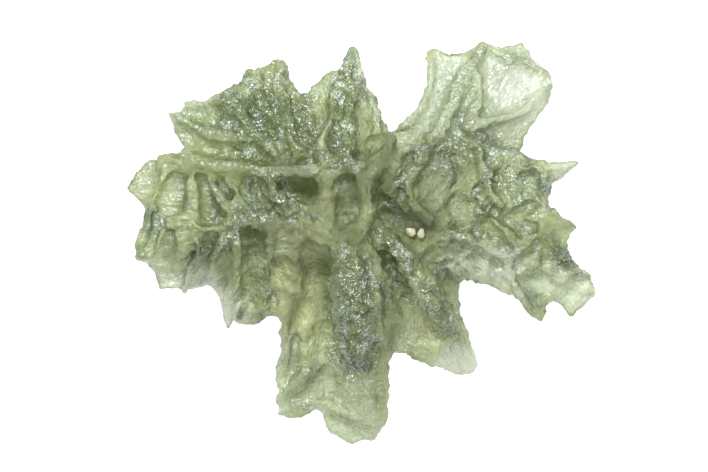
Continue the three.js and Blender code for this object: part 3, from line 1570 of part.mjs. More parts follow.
// The stone's surface, cut flat where it rests.
function stoneGeometry() {
  const surface = simplified(surfaceOf(glass, LOOK_FROM, LOOK_TO, GRID_STEP), STONE_FACES);
  const ground = new THREE.BoxGeometry(GROUND_BLOCK, GROUND_BLOCK, GROUND_BLOCK);
  ground.translate(0, 0, -GROUND_BLOCK / 2);
  return geometryOfSolid(solidOf(geometryOf(surface)).subtract(solidOf(ground)));
}

// The height at which a grain rests that comes down on the stone at x, y until a corner touches.
function restingHeight(stone, x, y, corners) {
  const ray = new THREE.Raycaster();
  const down = new THREE.Vector3(0, 0, -1);
  let height = 0;
  for (let v = 0; v < corners.count; v++) {
    ray.set(new THREE.Vector3(x + corners.getX(v), y + corners.getY(v), CLEAR_HEIGHT), down);
    for (const { point } of ray.intersectObject(stone).slice(0, 1))
      height = Math.max(height, point.z - corners.getZ(v));
  }
  return height + GRAIN_GAP;
}

function grainGeometry(stone, { place, shares, seed }) {
  const geometry = mergeVertices(
    new THREE.IcosahedronGeometry(GRAIN_WIDTH / 2, 1).deleteAttribute("normal").deleteAttribute("uv"),
    MERGE_WITHIN,
  );
  const position = geometry.attributes.position;
  for (let v = 0; v < position.count; v++) {
    const size = 1 - GRAIN_ROUGHNESS * hash(v, 0, 0, seed);
    position.setXYZ(v, position.getX(v) * size, position.getY(v) * size, position.getZ(v) * size);
  }
  geometry.scale(...shares);
  const [x, y] = place;
  return geometry.translate(x, y, restingHeight(stone, x, y, position));
}

function namedMesh(name, geometry, settings) {
  geometry.computeVertexNormals();
  const mesh = new THREE.Mesh(geometry, new THREE.MeshStandardMaterial(settings));
  mesh.name = name;
  return mesh;
}

const moldavite = new THREE.Group();
const glassLook = { color: GLASS_COLOUR, roughness: 0.25, metalness: 0 };
const sandLook = { color: SAND_COLOUR, roughness: 0.9, metalness: 0 };
const stone = namedMesh("moldavite_stone", stoneGeometry(), glassLook);
moldavite.add(stone);
stone.geometry.computeBoundingBox();
const middle = stone.geometry.boundingBox.getCenter(new THREE.Vector3());
for (const grain of GRAINS)
  moldavite.add(namedMesh(grain.node, grainGeometry(stone, grain), sandLook));

// The origin is under the middle of the stone, on the ground.
moldavite.scale.setScalar(STONE_WIDTH / PLAN_WIDTH);
moldavite.position.set(-middle.x, -middle.y, 0).multiplyScalar(STONE_WIDTH / PLAN_WIDTH);

export default moldavite;
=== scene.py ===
"""The looks of a moldavite: one piece of etched green glass with two sand grains in its face.

Places on the stone are in millimetres in the part's own frame: X across the face, Y up the face and
Z up from the ground. MM turns them into metres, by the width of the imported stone.
"""

import itertools
import math

import bmesh
import bpy
import numpy as np
from bpy.props import FloatProperty, FloatVectorProperty, PointerProperty
from mathutils import Matrix, Vector
from mathutils.bvhtree import BVHTree


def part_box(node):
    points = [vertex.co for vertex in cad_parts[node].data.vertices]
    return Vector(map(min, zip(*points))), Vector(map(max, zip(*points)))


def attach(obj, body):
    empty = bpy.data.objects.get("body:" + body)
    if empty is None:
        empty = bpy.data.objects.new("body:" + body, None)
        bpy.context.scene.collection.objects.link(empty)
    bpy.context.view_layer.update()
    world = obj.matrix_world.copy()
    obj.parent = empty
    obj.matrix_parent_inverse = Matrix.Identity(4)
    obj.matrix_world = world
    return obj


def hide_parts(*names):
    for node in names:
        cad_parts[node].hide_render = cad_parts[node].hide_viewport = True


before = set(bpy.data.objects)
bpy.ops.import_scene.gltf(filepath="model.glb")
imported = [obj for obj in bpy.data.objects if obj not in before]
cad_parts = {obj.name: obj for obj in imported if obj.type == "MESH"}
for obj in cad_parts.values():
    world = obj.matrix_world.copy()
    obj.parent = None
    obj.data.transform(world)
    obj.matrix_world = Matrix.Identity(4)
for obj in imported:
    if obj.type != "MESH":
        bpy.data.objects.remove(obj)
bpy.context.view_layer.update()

bl_info = {
    "name": "Moldavite",
    "version": (1, 0, 0),
    "blender": (4, 5, 0),
    "location": "View3D > Sidebar > Moldavite",
    "description": "Dresses a packed moldavite with its etched glass, sand grains and stage",
    "category": "Object",
}

STONE_NODE = "moldavite_stone"
STONE_WIDTH = 35.17  # the width at which the places below are given
STONE_LOW, STONE_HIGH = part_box(STONE_NODE)
MM = (STONE_HIGH.x - STONE_LOW.x) / STONE_WIDTH

# The lobes of the stone: where each grows from the heart, and the middle of its outer rim
LOBES = {
    "left lobe": [(-4.6, 2.8, 6.8), (-15.5, 1.8, 6.3)],
    "low thorn": [(-8.0, -0.5, 4.9), (-10.4, -5.6, 3.0)],
    "short lower lobe": [(-7.4, 0.9, 7.4), (-8.3, -5.6, 5.3)],
    "long bottom lobe": [(-2.4, -1.1, 6.2), (-2.6, -14.0, 2.2)],
    "lower right lobe": [(3.0, -0.5, 6.4), (7.5, -9.0, 2.5)],
    "right lobe": [(5.4, 0.9, 7.0), (15.5, -2.0, 5.5)],
    "front blade": [(4.6, 1.3, 8.2), (5.0, 7.0, 9.0)],
    "pale lobe": [(5.0, 4.1, 5.0), (10.0, 14.0, 2.5)],
    "upper left fan": [(-3.8, 4.3, 7.6), (-10.5, 10.2, 6.3)],
    "upper middle peak": [(-0.8, 4.7, 8.2), (-0.7, 14.0, 8.0)],
    "front prong": [(-0.8, 0.5, 9.6), (-0.3, -8.3, 8.9)],
}

# Patches that are etched rough and glint, partly by glints and shade painted into their colour: two ends
# of a stroke in the plan, its radius, and how rough it is
ROUGH_PATCHES = {
    "front prong": [(-0.5, -2.2), (-0.5, -8.4), 1.9, 1],
    "root of the prong": [(-1.4, 0.3), (-1.2, -1.6), 1.0, 0.6],
    "dark crest": [(2.7, -0.4), (6.8, -7.1), 1.1, 0.9],
    "by the prong": [(2.6, -2.4), (2.9, -3.0), 0.8, 1],
    "left of the recess": [(0.9, 1.0), (2.2, -0.4), 0.8, 1],
    "top of the recess": [(1.9, 3.0), (3.3, 1.6), 0.7, 0.8],
    "middle of the fan": [(-9.0, 9.6), (-5.0, 9.4), 2.2, 1],
    "left of the fan": [(-12.1, 8.8), (-9.0, 7.9), 1.2, 0.6],
    "top of the fan": [(-9.0, 11.4), (-5.8, 12.6), 1.0, 0.7],
    "foot of the fan": [(-8.6, 6.9), (-4.0, 7.0), 0.9, 0.8],
    "peak": [(-1.7, 6.9), (-0.7, 12.9), 1.5, 1],
    "right side of the peak": [(0.9, 9.4), (0.3, 12.6), 0.7, 0.5],
    "middle crest": [(-0.9, 4.6), (-0.4, 1.8), 0.9, 0.6],
    "right of the middle crest": [(0.5, 4.4), (0.9, 2.4), 0.6, 0.6],
    "second flute of the left lobe": [(-11.6, 4.3), (-10.7, 1.8), 0.6, 0.7],
    "small dark triangle": [(-10.4, 4.3), (-9.4, 3.6), 0.5, 0.8],
    "second rib": [(-10.4, 3.3), (-9.2, 2.2), 0.5, 1],
    "left of the hollow": [(-8.3, 4.0), (-7.4, 2.0), 1.0, 1],
    "left wall of the hollow": [(-6.5, 4.6), (-5.4, 2.2), 0.8, 1],
    "below the hollow": [(-4.6, 1.9), (-3.4, 1.3), 0.8, 0.5],
    "wedge of the left lobe": [(-11.4, 0.6), (-11.7, -1.0), 0.7, 0.9],
    "bright rib": [(-9.1, 1.9), (-10.6, -0.2), 0.6, 1],
    "channel of the short lobe": [(-7.9, -0.4), (-7.7, -3.8), 0.9, 0.8],
    "tip of the short lobe": [(-8.7, -5.2), (-7.8, -5.4), 0.6, 0.5],
    "left rim": [(-15.6, 2.3), (-15.2, 0.9), 0.7, 1],
    "left tip": [(-16.4, -0.3), (-16.4, -1.0), 0.6, 0.6],
    "lower left thorns": [(-14.6, -2.2), (-13.4, -3.0), 0.8, 0.6],
    "front blade's tip": [(4.4, 6.9), (6.4, 6.7), 0.8, 1],
    "front blade": [(3.2, 5.4), (3.3, 4.2), 0.7, 0.7],
    "inside the front blade": [(5.4, 5.9), (7.0, 5.6), 0.9, 0.7],
    "facet of the right lobe": [(10.4, 4.9), (13.0, 3.4), 1.7, 0.8],
    "straight crest of the right lobe": [(8.4, 3.6), (9.2, 2.4), 0.6, 1],
    "dish inside the right thorn": [(10.6, 1.9), (12.6, 0.9), 0.9, 0.6],
    "bumpy crest of the right lobe": [(6.9, 1.2), (10.9, -0.4), 0.9, 0.8],
    "lowest thorn of the right lobe": [(12.3, -2.6), (13.2, -4.6), 0.7, 0.6],
    "crest over the lower right bay": [(14.3, -0.4), (15.9, -2.0), 0.7, 1],
    "right thorn": [(14.4, 1.6), (15.6, 1.3), 0.5, 0.6],
    "rim of the pale lobe": [(11.0, 14.1), (14.4, 13.4), 0.6, 0.6],
    "band of the pale lobe": [(8.9, 14.4), (5.9, 8.4), 0.8, 0.4],
    "foot of the pale lobe": [(8.0, 9.6), (7.0, 8.3), 1.0, 0.5],
    "front of the right lobe": [(6.4, 7.6), (10.4, 7.2), 1.0, 0.8],
    "long ledge": [(-13.6, 5.9), (-3.4, 5.4), 0.8, 0.3],
    "lower left mound": [(-14.0, 0.6), (-12.6, -2.4), 1.1, 0.45],
    "left end of the left lobe": [(-17.0, 4.5), (-15.8, 5.4), 0.9, 0.3],
    "end of the bottom lobe": [(-5.4, -11.9), (-4.2, -12.3), 0.6, 0.6],
}

# Patches where the glass is nearly colourless: the same, and how much of the colour they lose
PALE_PATCHES = {
    "pale lobe": [(6.5, 10.5), (12.5, 12.0), 3.2, 0.45],
    "clear window of the pale lobe": [(10.6, 12.4), (12.2, 10.8), 1.9, 0.6],
    "left side of the pale lobe": [(4.4, 9.0), (6.0, 13.0), 1.1, 0.3],
    "lower right tip": [(13.6, -2.8), (17.0, -3.6), 1.4, 0.45],
    "lower edge of the right lobe": [(7.6, -1.6), (12.0, -3.2), 1.2, 0.5],
    "thorn at the right": [(14.9, 5.6), (16.0, 6.0), 0.9, 0.55],
    "clear tip of the lower right lobe": [(6.6, -8.6), (8.4, -9.2), 1.3, 0.65],
    "web of the low thorn": [(-12.6, -2.8), (-9.6, -5.4), 1.4, 0.55],
    "lower left thorns": [(-16.2, -2.0), (-13.4, -3.6), 0.8, 0.4],
    "left edge of the bottom lobe": [(-6.2, -12.4), (-5.2, -7.5), 0.8, 0.4],
    "right edge of the peak": [(-0.2, 13.4), (1.8, 9.2), 0.7, 0.5],
    "left end of the fan": [(-14.2, 9.6), (-11.6, 10.4), 0.7, 0.3],
    "end of the bottom lobe": [(-3.4, -9.4), (-1.0, -13.0), 2.6, 0.25],
    "facet of the right lobe": [(10.0, 4.6), (12.6, 3.4), 1.6, 0.2],
    "dish of the right lobe": [(6.6, 3.0), (8.4, 2.0), 1.3, 0.2],
    "low side of the right lobe": [(7.2, -0.9), (10.8, -1.7), 1.6, 0.65],
    "flute of the lower right lobe": [(3.6, -3.6), (5.4, -7.2), 1.2, 0.3],
}

# Places that look darker than the glass around them, where light is lost sideways: the same
DARK_PATCHES = {
    "lump of the left rim": [(-16.1, 2.3), (-15.9, 0.8), 0.45, 0.75],
    "dark side of the first flute": [(-13.5, 4.5), (-13.0, 2.8), 0.4, 0.5],
    "dark side of the second flute": [(-11.2, 3.8), (-10.6, 2.0), 0.35, 0.45],
    "pit of the left rim": [(-15.2, 1.9), (-14.9, 1.5), 0.35, 0.6],
    "edge of the lower left mound": [(-12.1, 0.1), (-12.6, -1.9), 0.3, 0.6],
    "left edge of the lower left mound": [(-14.4, 0.8), (-14.5, -0.7), 0.3, 0.5],
    "lower left rim": [(-16.6, -0.9), (-15.2, -3.0), 0.3, 0.5],
    "edge of the left tip": [(-17.4, 4.2), (-16.2, 5.9), 0.2, 0.4],
    "end of the left lobe": [(-17.0, 4.3), (-16.0, 5.2), 0.9, 0.22],
    "long ledge": [(-14.0, 5.9), (-4.4, 5.5), 0.7, 0.14],
    "tip of the short lobe": [(-8.8, -5.4), (-7.6, -5.6), 0.5, 0.55],
    "left rim of the fan": [(-13.9, 9.4), (-13.2, 7.6), 0.4, 0.35],
    "middle of the fan": [(-9.6, 9.4), (-5.2, 8.8), 1.6, 0.2],
    "end of the front prong": [(-1.2, -8.9), (0.6, -9.0), 0.6, 0.55],
    "slanting rib of the bottom lobe": [(-3.4, -9.2), (-5.3, -11.4), 0.4, 0.4],
    "recess behind the grains": [(2.4, 2.2), (4.2, 1.2), 0.8, 0.45],
    "tip of the front blade": [(4.8, 7.0), (6.0, 6.5), 0.35, 0.65],
    "upper edge of the right lobe": [(8.9, 8.0), (9.8, 7.6), 0.45, 0.6],
    "shoulder of the right lobe": [(9.8, 7.5), (12.2, 6.5), 0.25, 0.5],
    "rim of the right lobe": [(12.2, 6.4), (13.7, 4.0), 0.3, 0.6],
    "crest over the lower right bay": [(14.6, -0.4), (15.6, -1.5), 0.45, 0.65],
    "notch of the right lobe": [(12.6, -3.6), (13.0, -4.6), 0.4, 0.5],
    "rim of the pale lobe": [(11.2, 14.3), (13.6, 12.9), 0.15, 0.45],
    "right rim of the pale lobe": [(13.8, 12.6), (14.1, 10.8), 0.15, 0.4],
    "left wing of the pale lobe": [(5.8, 12.9), (5.0, 9.6), 1.0, 0.08],
    "band of the pale lobe": [(8.6, 14.2), (6.4, 10.2), 0.6, 0.12],
    "upper edge of the right thorn": [(14.4, 6.0), (16.0, 6.2), 0.1, 0.5],
    "lower edge of the right thorn": [(14.4, 4.8), (15.6, 5.6), 0.1, 0.45],
}

# Thick smooth places in which light gathers, so that they look a brighter olive: the same
BRIGHT_PATCHES = {
    "middle of the face": [(-2.8, 1.8), (0.2, 1.0), 1.8, 0.8],
    "smooth shoulder": [(-5.4, 0.4), (-4.7, -4.8), 1.9, 1],
    "flute of the bottom lobe": [(-4.2, -3.0), (-3.6, -7.6), 1.6, 0.6],
    "flute of the lower right lobe": [(3.4, -3.0), (5.4, -7.2), 1.3, 0.8],
    "dish of the right lobe": [(6.2, 3.4), (8.6, 1.8), 1.5, 0.5],
    "foot of the right lobe": [(5.0, -0.4), (8.4, 0.2), 1.1, 0.5],
    "flute under the peak": [(-3.2, 9.0), (-2.8, 5.4), 0.9, 0.5],
    "channel of the short lobe": [(-9.4, -0.6), (-8.4, -4.6), 0.8, 0.4],
    "cell right of the hollow": [(-2.4, 4.6), (-1.8, 2.6), 0.8, 0.6],
}

# The ends of the thorns around the rims
THORNS = [
    (-17.5, 4.2, 5.6), (-16.8, -1.2, 6.6), (-15.2, -3.5, 5.0), (-13.2, -3.8, 5.2),
    (-13.1, -3.5, 4.1), (-10.0, -6.5, 2.5), (-9.6, -5.9, 5.2), (-6.3, -13.0, 2.4),
    (-0.8, -15.2, 1.9), (1.1, -14.8, 2.0), (8.8, -9.3, 1.6), (13.5, -5.9, 5.5),
    (15.7, -5.6, 4.6), (17.5, -4.0, 4.3), (16.0, 1.2, 7.2), (16.1, 6.0, 8.1),
    (11.4, 7.1, 8.2), (8.7, 8.3, 8.2), (5.2, 7.2, 9.4), (3.7, 7.3, 9.2),
    (2.2, 8.4, 4.2), (5.5, 14.7, 2.3), (8.9, 15.0, 2.3), (12.1, 15.0, 1.9),
    (14.2, 12.9, 2.0), (-14.4, 9.7, 5.6), (-13.1, 10.5, 5.9), (-10.9, 11.1, 6.5),
    (-8.2, 12.9, 7.2), (-6.2, 13.6, 7.4), (-0.6, 14.6, 8.0),
]

# The corners of each sand grain, as shares of half its packed box
GRAIN_CORNERS = {
    "sand_grain_left": [
        (-1, 0.9, 0.2), (-0.1, 1, 0.7), (0.9, 0.8, 0), (1, -0.5, 0.4), (0.1, -1, 0.2), (-0.8, -0.3, -0.3),
        (-0.3, 0.1, 1), (0.1, 0, -1),
    ],
    "sand_grain_right": [
        (-0.1, 1, 0.3), (0.7, 0.9, -0.1), (1, -0.3, 0.3), (0.6, -1, 0.1), (-0.8, -0.8, 0.2),
        (-1, 0, -0.2), (0.1, 0.1, 1), (0, 0.1, -1),
    ],
}

# The photograph's frame on the object: its width, its middle in the plan and the height it is taken at
FRAME_WIDTH = 53.1
FRAME_MIDDLE = (-0.54, 0.5, 5.0)

# Soft boxes: name, the angle around the stone and the angle above the floor, width and radiance
SOFT_BOXES = [
    ("key soft box", (110, 52), 0.12, 55),
    ("right soft box", (20, 50), 0.07, 50),
    ("lower soft box", (-70, 62), 0.07, 42),
    ("left soft box", (-165, 50), 0.07, 40),
]
BOX_DISTANCE = 0.45
BOX_COLOUR = (0.96, 0.98, 1.0)
ROOM_COLOUR = (0.98, 0.99, 1.0, 1)
FLOOR_COLOUR = (0.6, 0.6, 0.6, 1)
FLOOR_GLOW_COLOUR = (1.0, 1.0, 1.0, 1)
FLOOR_SIDES = 64
FLOOR_DROP = 0.02  # how far the floor lies under the stone
LIGHT_BOUNCES = 14

# The painted glints of the rough patches: how wide each is, in millimetres, and how strongly it shows
GLINT_SIZES = [(0.17, 0.4), (0.11, 0.7)]
GLINT_START = 0.66  # facets whose random number is above this get a painted glint
SHADED_FACET_END = 0.36  # and those below this get painted shade
SHADED_FACET_SHARE = 0.55

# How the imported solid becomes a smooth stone
MERGE_WITHIN = 1e-7
EVEN_STEPS = (0.5, -0.52)  # one step of shrinking and one of swelling
EVEN_TURNS = 6
CREST_TURNS = 6
CREST_SHARE = 1.2
UNFOLD_TURNS = 8
UNFOLD_SHARE = 0.7
FOLD_AGREEMENT = 0.75  # below this the normals around a point disagree enough to be a fold
FOLD_RANGE = 0.3
SOFT_TURNS = 3
SHADE_TURNS = 10  # turns and height by which the shader's crests and grooves are found
SHADE_HEIGHT = 0.09

# How thickness shows, in millimetres of glass
THICK_ENOUGH = 6.0  # glass thicker than this counts as this thick
CUT_THICKNESS = 2.2  # glass as thick as this is cut to the full depth
LEAST_CUT = 0.15
STAIN_THICKNESS = 0.55
CLEAR_THICKNESS = 0.6
THIN_CLEARNESS = 0.8
RAY_START = 0.02
STEEP_START = 0.4  # where a slope begins to take painted shade, and over what range

# How the patches fade at their edges, in millimetres
ROUGH_EDGE = 0.9
PALE_EDGE = 1.0
DARK_EDGE = 0.5
BRIGHT_EDGE = 1.2

# Thorns: how strongly they are drawn out, and how sharply that fades
THORN_PULL = 0.55
THORN_FALL = 1.5

# The scattered patterns
HASH_PRIMES = (73856093, 19349663, 83492791)
SEED_FACTOR = 2654435761
HASH_FACTOR = 1274126177
LOW_31_BITS = 0x7FFFFFFF
LOW_16_BITS = 0xFFFF
SCATTER = 0.7
BOWL_STEEPNESS = 1.7
BOWL_MIDDLE = 0.4  # taken off a pattern of bowls, so that its crests stand out of the surface
WARP = 1.3  # size and reach of the push that bends a pattern, in cells
ROOT_PULL = 5  # how sharply the flutes of one lobe give way to those of the next
LEAST_DISTANCE = 0.3
LEAST_RADIUS = 0.6
FLUTE_CELLS = (11.8, 11.8, 4.5)  # flutes in one radian and in one step of the logarithm
STREAK_CELLS = (34.0, 34.0, 9.0)  # the same for the fine streaks in the flutes


def length(name, description, size):
    """A setting that is a length in metres."""
    return FloatProperty(
        name=name, description=description, default=size, unit="LENGTH", precision=6
    )


def tint(name, description, colour):
    """A setting that is a colour."""
    return FloatVectorProperty(
        name=name, description=description, default=colour, size=3, min=0, max=1, subtype="COLOR"
    )


def amount(name, description, value, least=0, most=1):
    """A setting that is a plain number."""
    return FloatProperty(name=name, description=description, default=value, min=least, max=most)


class StoneSettings(bpy.types.PropertyGroup):
    """Sizes of the stone's surface."""

    step: length("Surface step", "Spacing of the points of the finished surface", 0.175 * MM)
    flute_depth: length("Flute depth", "How deep the flutes are cut along each lobe", 0.24 * MM)
    scallop_size: length("Scallop size", "How wide the larger etched bowls are", 1.15 * MM)
    scallop_depth: length("Scallop depth", "How deep the larger etched bowls are", 0.24 * MM)
    pit_size: length("Pit size", "How wide the fine pits of the rough patches are", 0.55 * MM)
    pit_depth: length("Pit depth", "How deep the fine pits of the rough patches are", 0.09 * MM)
    thorn_reach: length("Thorn reach", "How far from its end a thorn is drawn out", 1.3 * MM)


class GlassSettings(bpy.types.PropertyGroup):
    """Colours and finish of the glass, with the painted shade and painted glints in its colour."""

    pale_tint: tint(
        "Pale tint", "Colour of the surface where the glass is thin", (0.76, 0.79, 0.71)
    )
    middle_tint: tint(
        "Middle tint",
        "Colour of the surface between the pale and the deep parts",
        (0.51, 0.57, 0.37),
    )
    deep_tint: tint(
        "Deep tint", "Colour of the surface where the glass is thick", (0.35, 0.4, 0.165)
    )
    bright_tint: tint(
        "Bright tint",
        "Colour of the thick smooth places in which light gathers",
        (0.55, 0.59, 0.28),
    )
    rough_tint: tint(
        "Rough tint", "Colour of the surface where it is etched rough", (0.185, 0.225, 0.085)
    )
    # also the colour of the painted shade in the grooves, on the steep sides, in the dark patches and on
    # the facets turned from the light
    groove_tint: tint(
        "Groove tint",
        "Colour of the surface in the sharpest grooves and the dark grains",
        (0.1, 0.13, 0.07),
    )
    # painted highlight: the colour of the glints painted into the rough patches
    glint_tint: tint(
        "Glint tint", "Colour of the small facets that catch the light", (0.78, 0.88, 0.9)
    )
    clearness: amount(
        "Clearness", "Share of the light that passes the etched surface unscattered", 0.6, least=0.5
    )
    absorption: tint(
        "Absorption colour",
        "Colour that light takes on its way through the glass",
        (0.42, 0.5, 0.18),
    )
    density: amount(
        "Absorption density",
        "How quickly the glass takes up light, per metre of way through it",
        110.0,
        most=1000,
    )
    bend: amount("Refractive index", "Refractive index of the glass", 1.49, least=1, most=3)
    smooth_roughness: amount("Smooth roughness", "Roughness inside the flutes", 0.38)
    etched_roughness: amount(
        "Etched roughness", "Roughness of the facets of the rough patches", 0.2
    )
    relief: length("Relief", "Depth of the finest relief, which only the normal shows", 0.11 * MM)
    # painted shade in the grooves
    groove_shade: amount("Groove shade", "How much a groove darkens the glass", 0.35)
    streak_shade: amount("Streak shade", "How much the fine streaks darken the flutes", 0.9)
    # painted shade on the steep sides
    steep_shade: amount("Steep shade", "How much a steep side darkens the glass", 0.45)
    line_shade: amount("Line shade", "How much the fine lines darken the clear glass", 0.3)
    grain_shade: amount("Grain shade", "How much the fine grain darkens and lightens", 0.9)


class GrainSettings(bpy.types.PropertyGroup):
    """Size and colour of the sand grains."""

    knob_size: length("Knob size", "How wide the knobs on a sand grain are", 0.12 * MM)
    knob_depth: length("Knob depth", "How far the knobs on a sand grain stand out", 0.07 * MM)
    colour: tint("Colour", "Colour of the sand grains", (0.46, 0.44, 0.29))


class StageSettings(bpy.types.PropertyGroup):
    """The floor, the lights and the camera."""

    floor_width: length("Floor width", "Width of the pale floor", 1.6)
    floor_glow: amount(
        "Floor glow", "Light that the floor gives by itself, as a light table does", 0.85, most=10
    )
    room_light: amount(
        "Room light", "Strength of the even light from all around", 0.3, most=10
    )
    lens: amount("Lens", "Focal length of the camera, in millimetres", 400.0, least=1, most=1000)


class Signal:
    """A value that runs along a link of a node tree. Sums on it add Math nodes to the tree."""

    def __init__(self, nodes, socket):
        self.nodes = nodes
        self.socket = socket

    def math(self, operation, *values):
        inputs = dict(enumerate(values))
        return self.nodes.add("ShaderNodeMath", {"operation": operation}, inputs)

    def __add__(self, other):
        return self.math("ADD", self, other)

    def __radd__(self, other):
        return self.math("ADD", other, self)

    def __sub__(self, other):
        return self.math("SUBTRACT", self, other)

    def __rsub__(self, other):
        return self.math("SUBTRACT", other, self)

    def __neg__(self):
        return self.math("MULTIPLY", self, -1.0)

    def __mul__(self, other):
        return self.math("MULTIPLY", self, other)

    def __rmul__(self, other):
        return self.math("MULTIPLY", other, self)

    def __rtruediv__(self, other):
        return self.math("DIVIDE", other, self)

    def clamped(self):
        return self.math("MAXIMUM", self.math("MINIMUM", self, 1.0), 0.0)


class Nodes:
    """Adds nodes to one tree."""

    MIX_SHARE, MIX_FIRST, MIX_SECOND, MIX_RESULT = 0, 6, 7, 2  # the colour sockets of a Mix node

    def __init__(self, tree):
        self.tree = tree
        tree.nodes.clear()

    def add(self, kind, settings, inputs, output=0):
        """Adds a node with its settings, then the values or links of its inputs."""
        node = self.tree.nodes.new(kind)
        for name, value in settings.items():
            if name == "stops":
                set_stops(node.color_ramp, value)
            else:
                setattr(node, name, value)
        for name, value in inputs.items():
            socket = node.inputs[name]
            if isinstance(value, Signal):
                self.tree.links.new(value.socket, socket)
            else:
                socket.default_value = value
        if not node.outputs:
            return None
        return Signal(self, node.outputs[output])

    def attribute(self, name, output="Fac"):
        return self.add("ShaderNodeAttribute", {"attribute_name": name}, {}, output)

    def noise(self, place, size):
        """Soft noise whose spots are about as wide as the size, in millimetres."""
        return self.add("ShaderNodeTexNoise", {}, {"Vector": place, "Scale": 1 / (size * MM)})

    def cells(self, place, size, feature="F1", output="Distance"):
        """Random cells as wide as the size, in millimetres."""
        inputs = {"Vector": place, "Scale": 1 / (size * MM)}
        return self.add("ShaderNodeTexVoronoi", {"feature": feature}, inputs, output)

    def mixed(self, share, first, second):
        """The first colour where share is 0, and the second where it is 1."""
        inputs = {self.MIX_SHARE: share, self.MIX_FIRST: first, self.MIX_SECOND: (*second, 1)}
        return self.add("ShaderNodeMix", {"data_type": "RGBA"}, inputs, self.MIX_RESULT)


def set_stops(ramp, stops):
    """Gives a colour ramp its places and colours."""
    for number, (place, colour) in enumerate(stops):
        if number < len(ramp.elements):
            element = ramp.elements[number]
            element.position = place
        else:
            element = ramp.elements.new(place)
        element.color = (*colour, 1)


def scattered(cells, seed):
    """Numbers from 0 to 1 that look random, the same for the same row of whole numbers."""
    mixed = np.full(len(cells), seed * SEED_FACTOR % 2**31, np.int64)
    for axis, prime in zip(range(cells.shape[1]), HASH_PRIMES):
        mixed ^= cells[:, axis] * prime
    mixed = ((mixed ^ (mixed >> 13)) & LOW_31_BITS) * HASH_FACTOR & LOW_31_BITS
    mixed ^= mixed >> 15
    return (mixed & LOW_16_BITS) / LOW_16_BITS


def bowls(places, seed):
    """High in the middle of each bowl of a scattered pattern, and low on the sharp crests between."""
    base = np.floor(places).astype(np.int64)
    nearest = np.full(len(places), 9.0)
    for step in itertools.product((-1, 0, 1), repeat=places.shape[1]):
        cells = base + step
        gap = 0
        for axis in range(places.shape[1]):
            stray = SCATTER * (scattered(cells, seed + axis) - 0.5)
            gap = gap + (cells[:, axis] + 0.5 + stray - places[:, axis]) ** 2
        nearest = np.minimum(nearest, gap)
    return np.clip(1 - BOWL_STEEPNESS * nearest, 0, 1) - BOWL_MIDDLE


def drift(places, seed):
    """A soft random field from 0 to 1, about one place wide."""
    base = np.floor(places).astype(np.int64)
    share = places - base
    share = share * share * (3 - 2 * share)
    total = 0
    for step in itertools.product((0, 1), repeat=places.shape[1]):
        weight = np.prod(np.where(step, share, 1 - share), axis=1)
        total = total + weight * scattered(base + step, seed)
    return total


def warped_bowls(points, size, seed):
    """Bowls of a size in millimetres, pushed to and fro so that they lie in no rows."""
    push = np.stack([drift(points / (WARP * size), seed + axis) for axis in range(3)], axis=1)
    return bowls(points / size + WARP * (push - 0.5), seed + 4)


def read(items, name, width, kind=np.float32):
    """The values that each item holds under a name, one row for each."""
    values = np.empty(len(items) * width, kind)
    items.foreach_get(name, values)
    return values.reshape(-1, width)


class Skin:
    """The points of a closed mesh in millimetres, and what lies around each of them."""

    def __init__(self, mesh):
        self.mesh = mesh
        self.points = read(mesh.vertices, "co", 3).astype(float)
        ends = read(mesh.edges, "vertices", 2, np.int32)
        self.here = np.concatenate([ends[:, 0], ends[:, 1]])
        self.there = np.concatenate([ends[:, 1], ends[:, 0]])
        self.count = np.bincount(self.here, minlength=len(self.points))

    def around(self, values):
        """The mean of each point's neighbours."""
        columns = values.reshape(len(values), -1).T
        sums = [np.bincount(self.here, column[self.there], len(values)) for column in columns]
        return (np.array(sums) / self.count).T.reshape(values.shape)

    def softened(self, values, turns, share=0.5):
        for _ in range(turns):
            values = values + share * (self.around(values) - values)
        return values

    def evened(self, turns):
        """Takes out the facets and keeps the size, by turns of shrinking and swelling."""
        for _ in range(turns):
            for share in EVEN_STEPS:
                self.points = self.softened(self.points, 1, share)

    def normals(self):
        self.mesh.vertices.foreach_set("co", self.points.ravel())
        self.mesh.update()
        return read(self.mesh.vertex_normals, "vector", 3).astype(float)

    def slopes(self):
        """0 where the surface lies level, and 1 where it stands upright."""
        return 1 - np.abs(self.normals()[:, 2])

    def standing_out(self, turns):
        """How far each point stands out of the softened surface, in millimetres."""
        return ((self.points - self.softened(self.points, turns)) * self.normals()).sum(1)

    def moved_out(self, distance):
        self.points += distance[:, None] * self.normals()

    def unfolded(self, turns):
        """Softens the surface only where it folds over itself."""
        for _ in range(turns):
            normals = self.normals()
            agreement = (normals * self.around(normals)).sum(1)
            folded = np.clip((FOLD_AGREEMENT - agreement) / FOLD_RANGE, 0, 1)
            step = self.around(self.points) - self.points
            self.points += UNFOLD_SHARE * folded[:, None] * step

    def thickness(self):
        """How much glass lies under each point."""
        normals = self.normals()
        polygons = read(self.mesh.polygons, "vertices", 4, np.int32)
        tree = BVHTree.FromPolygons(self.points.tolist(), polygons.tolist())
        depth = np.full(len(self.points), THICK_ENOUGH)
        start = self.points - RAY_START * normals
        for index, (place, normal) in enumerate(zip(start.tolist(), normals.tolist())):
            found = tree.ray_cast(place, [-value for value in normal], THICK_ENOUGH)
            if found[3] is not None:
                depth[index] = found[3]
        return self.softened(depth, SOFT_TURNS)

    def drawn_out(self, tip, reach):
        """Draws the glass near the end of a thorn out to a fine point."""
        away = np.linalg.norm(self.points - tip, axis=1)
        near = away < reach
        if near.any():
            share = (1 - away[near] / reach)[:, None] ** THORN_FALL
            self.points[near] += THORN_PULL * share * (np.array(tip) - self.points[near])


def stroke_distance(points, start, end):
    """Distance from each point to the line between two places."""
    start, end = np.array(start), np.array(end)
    line = end - start
    share = np.clip((points - start) @ line / (line @ line), 0, 1)
    return np.linalg.norm(points - start - share[:, None] * line, axis=1)


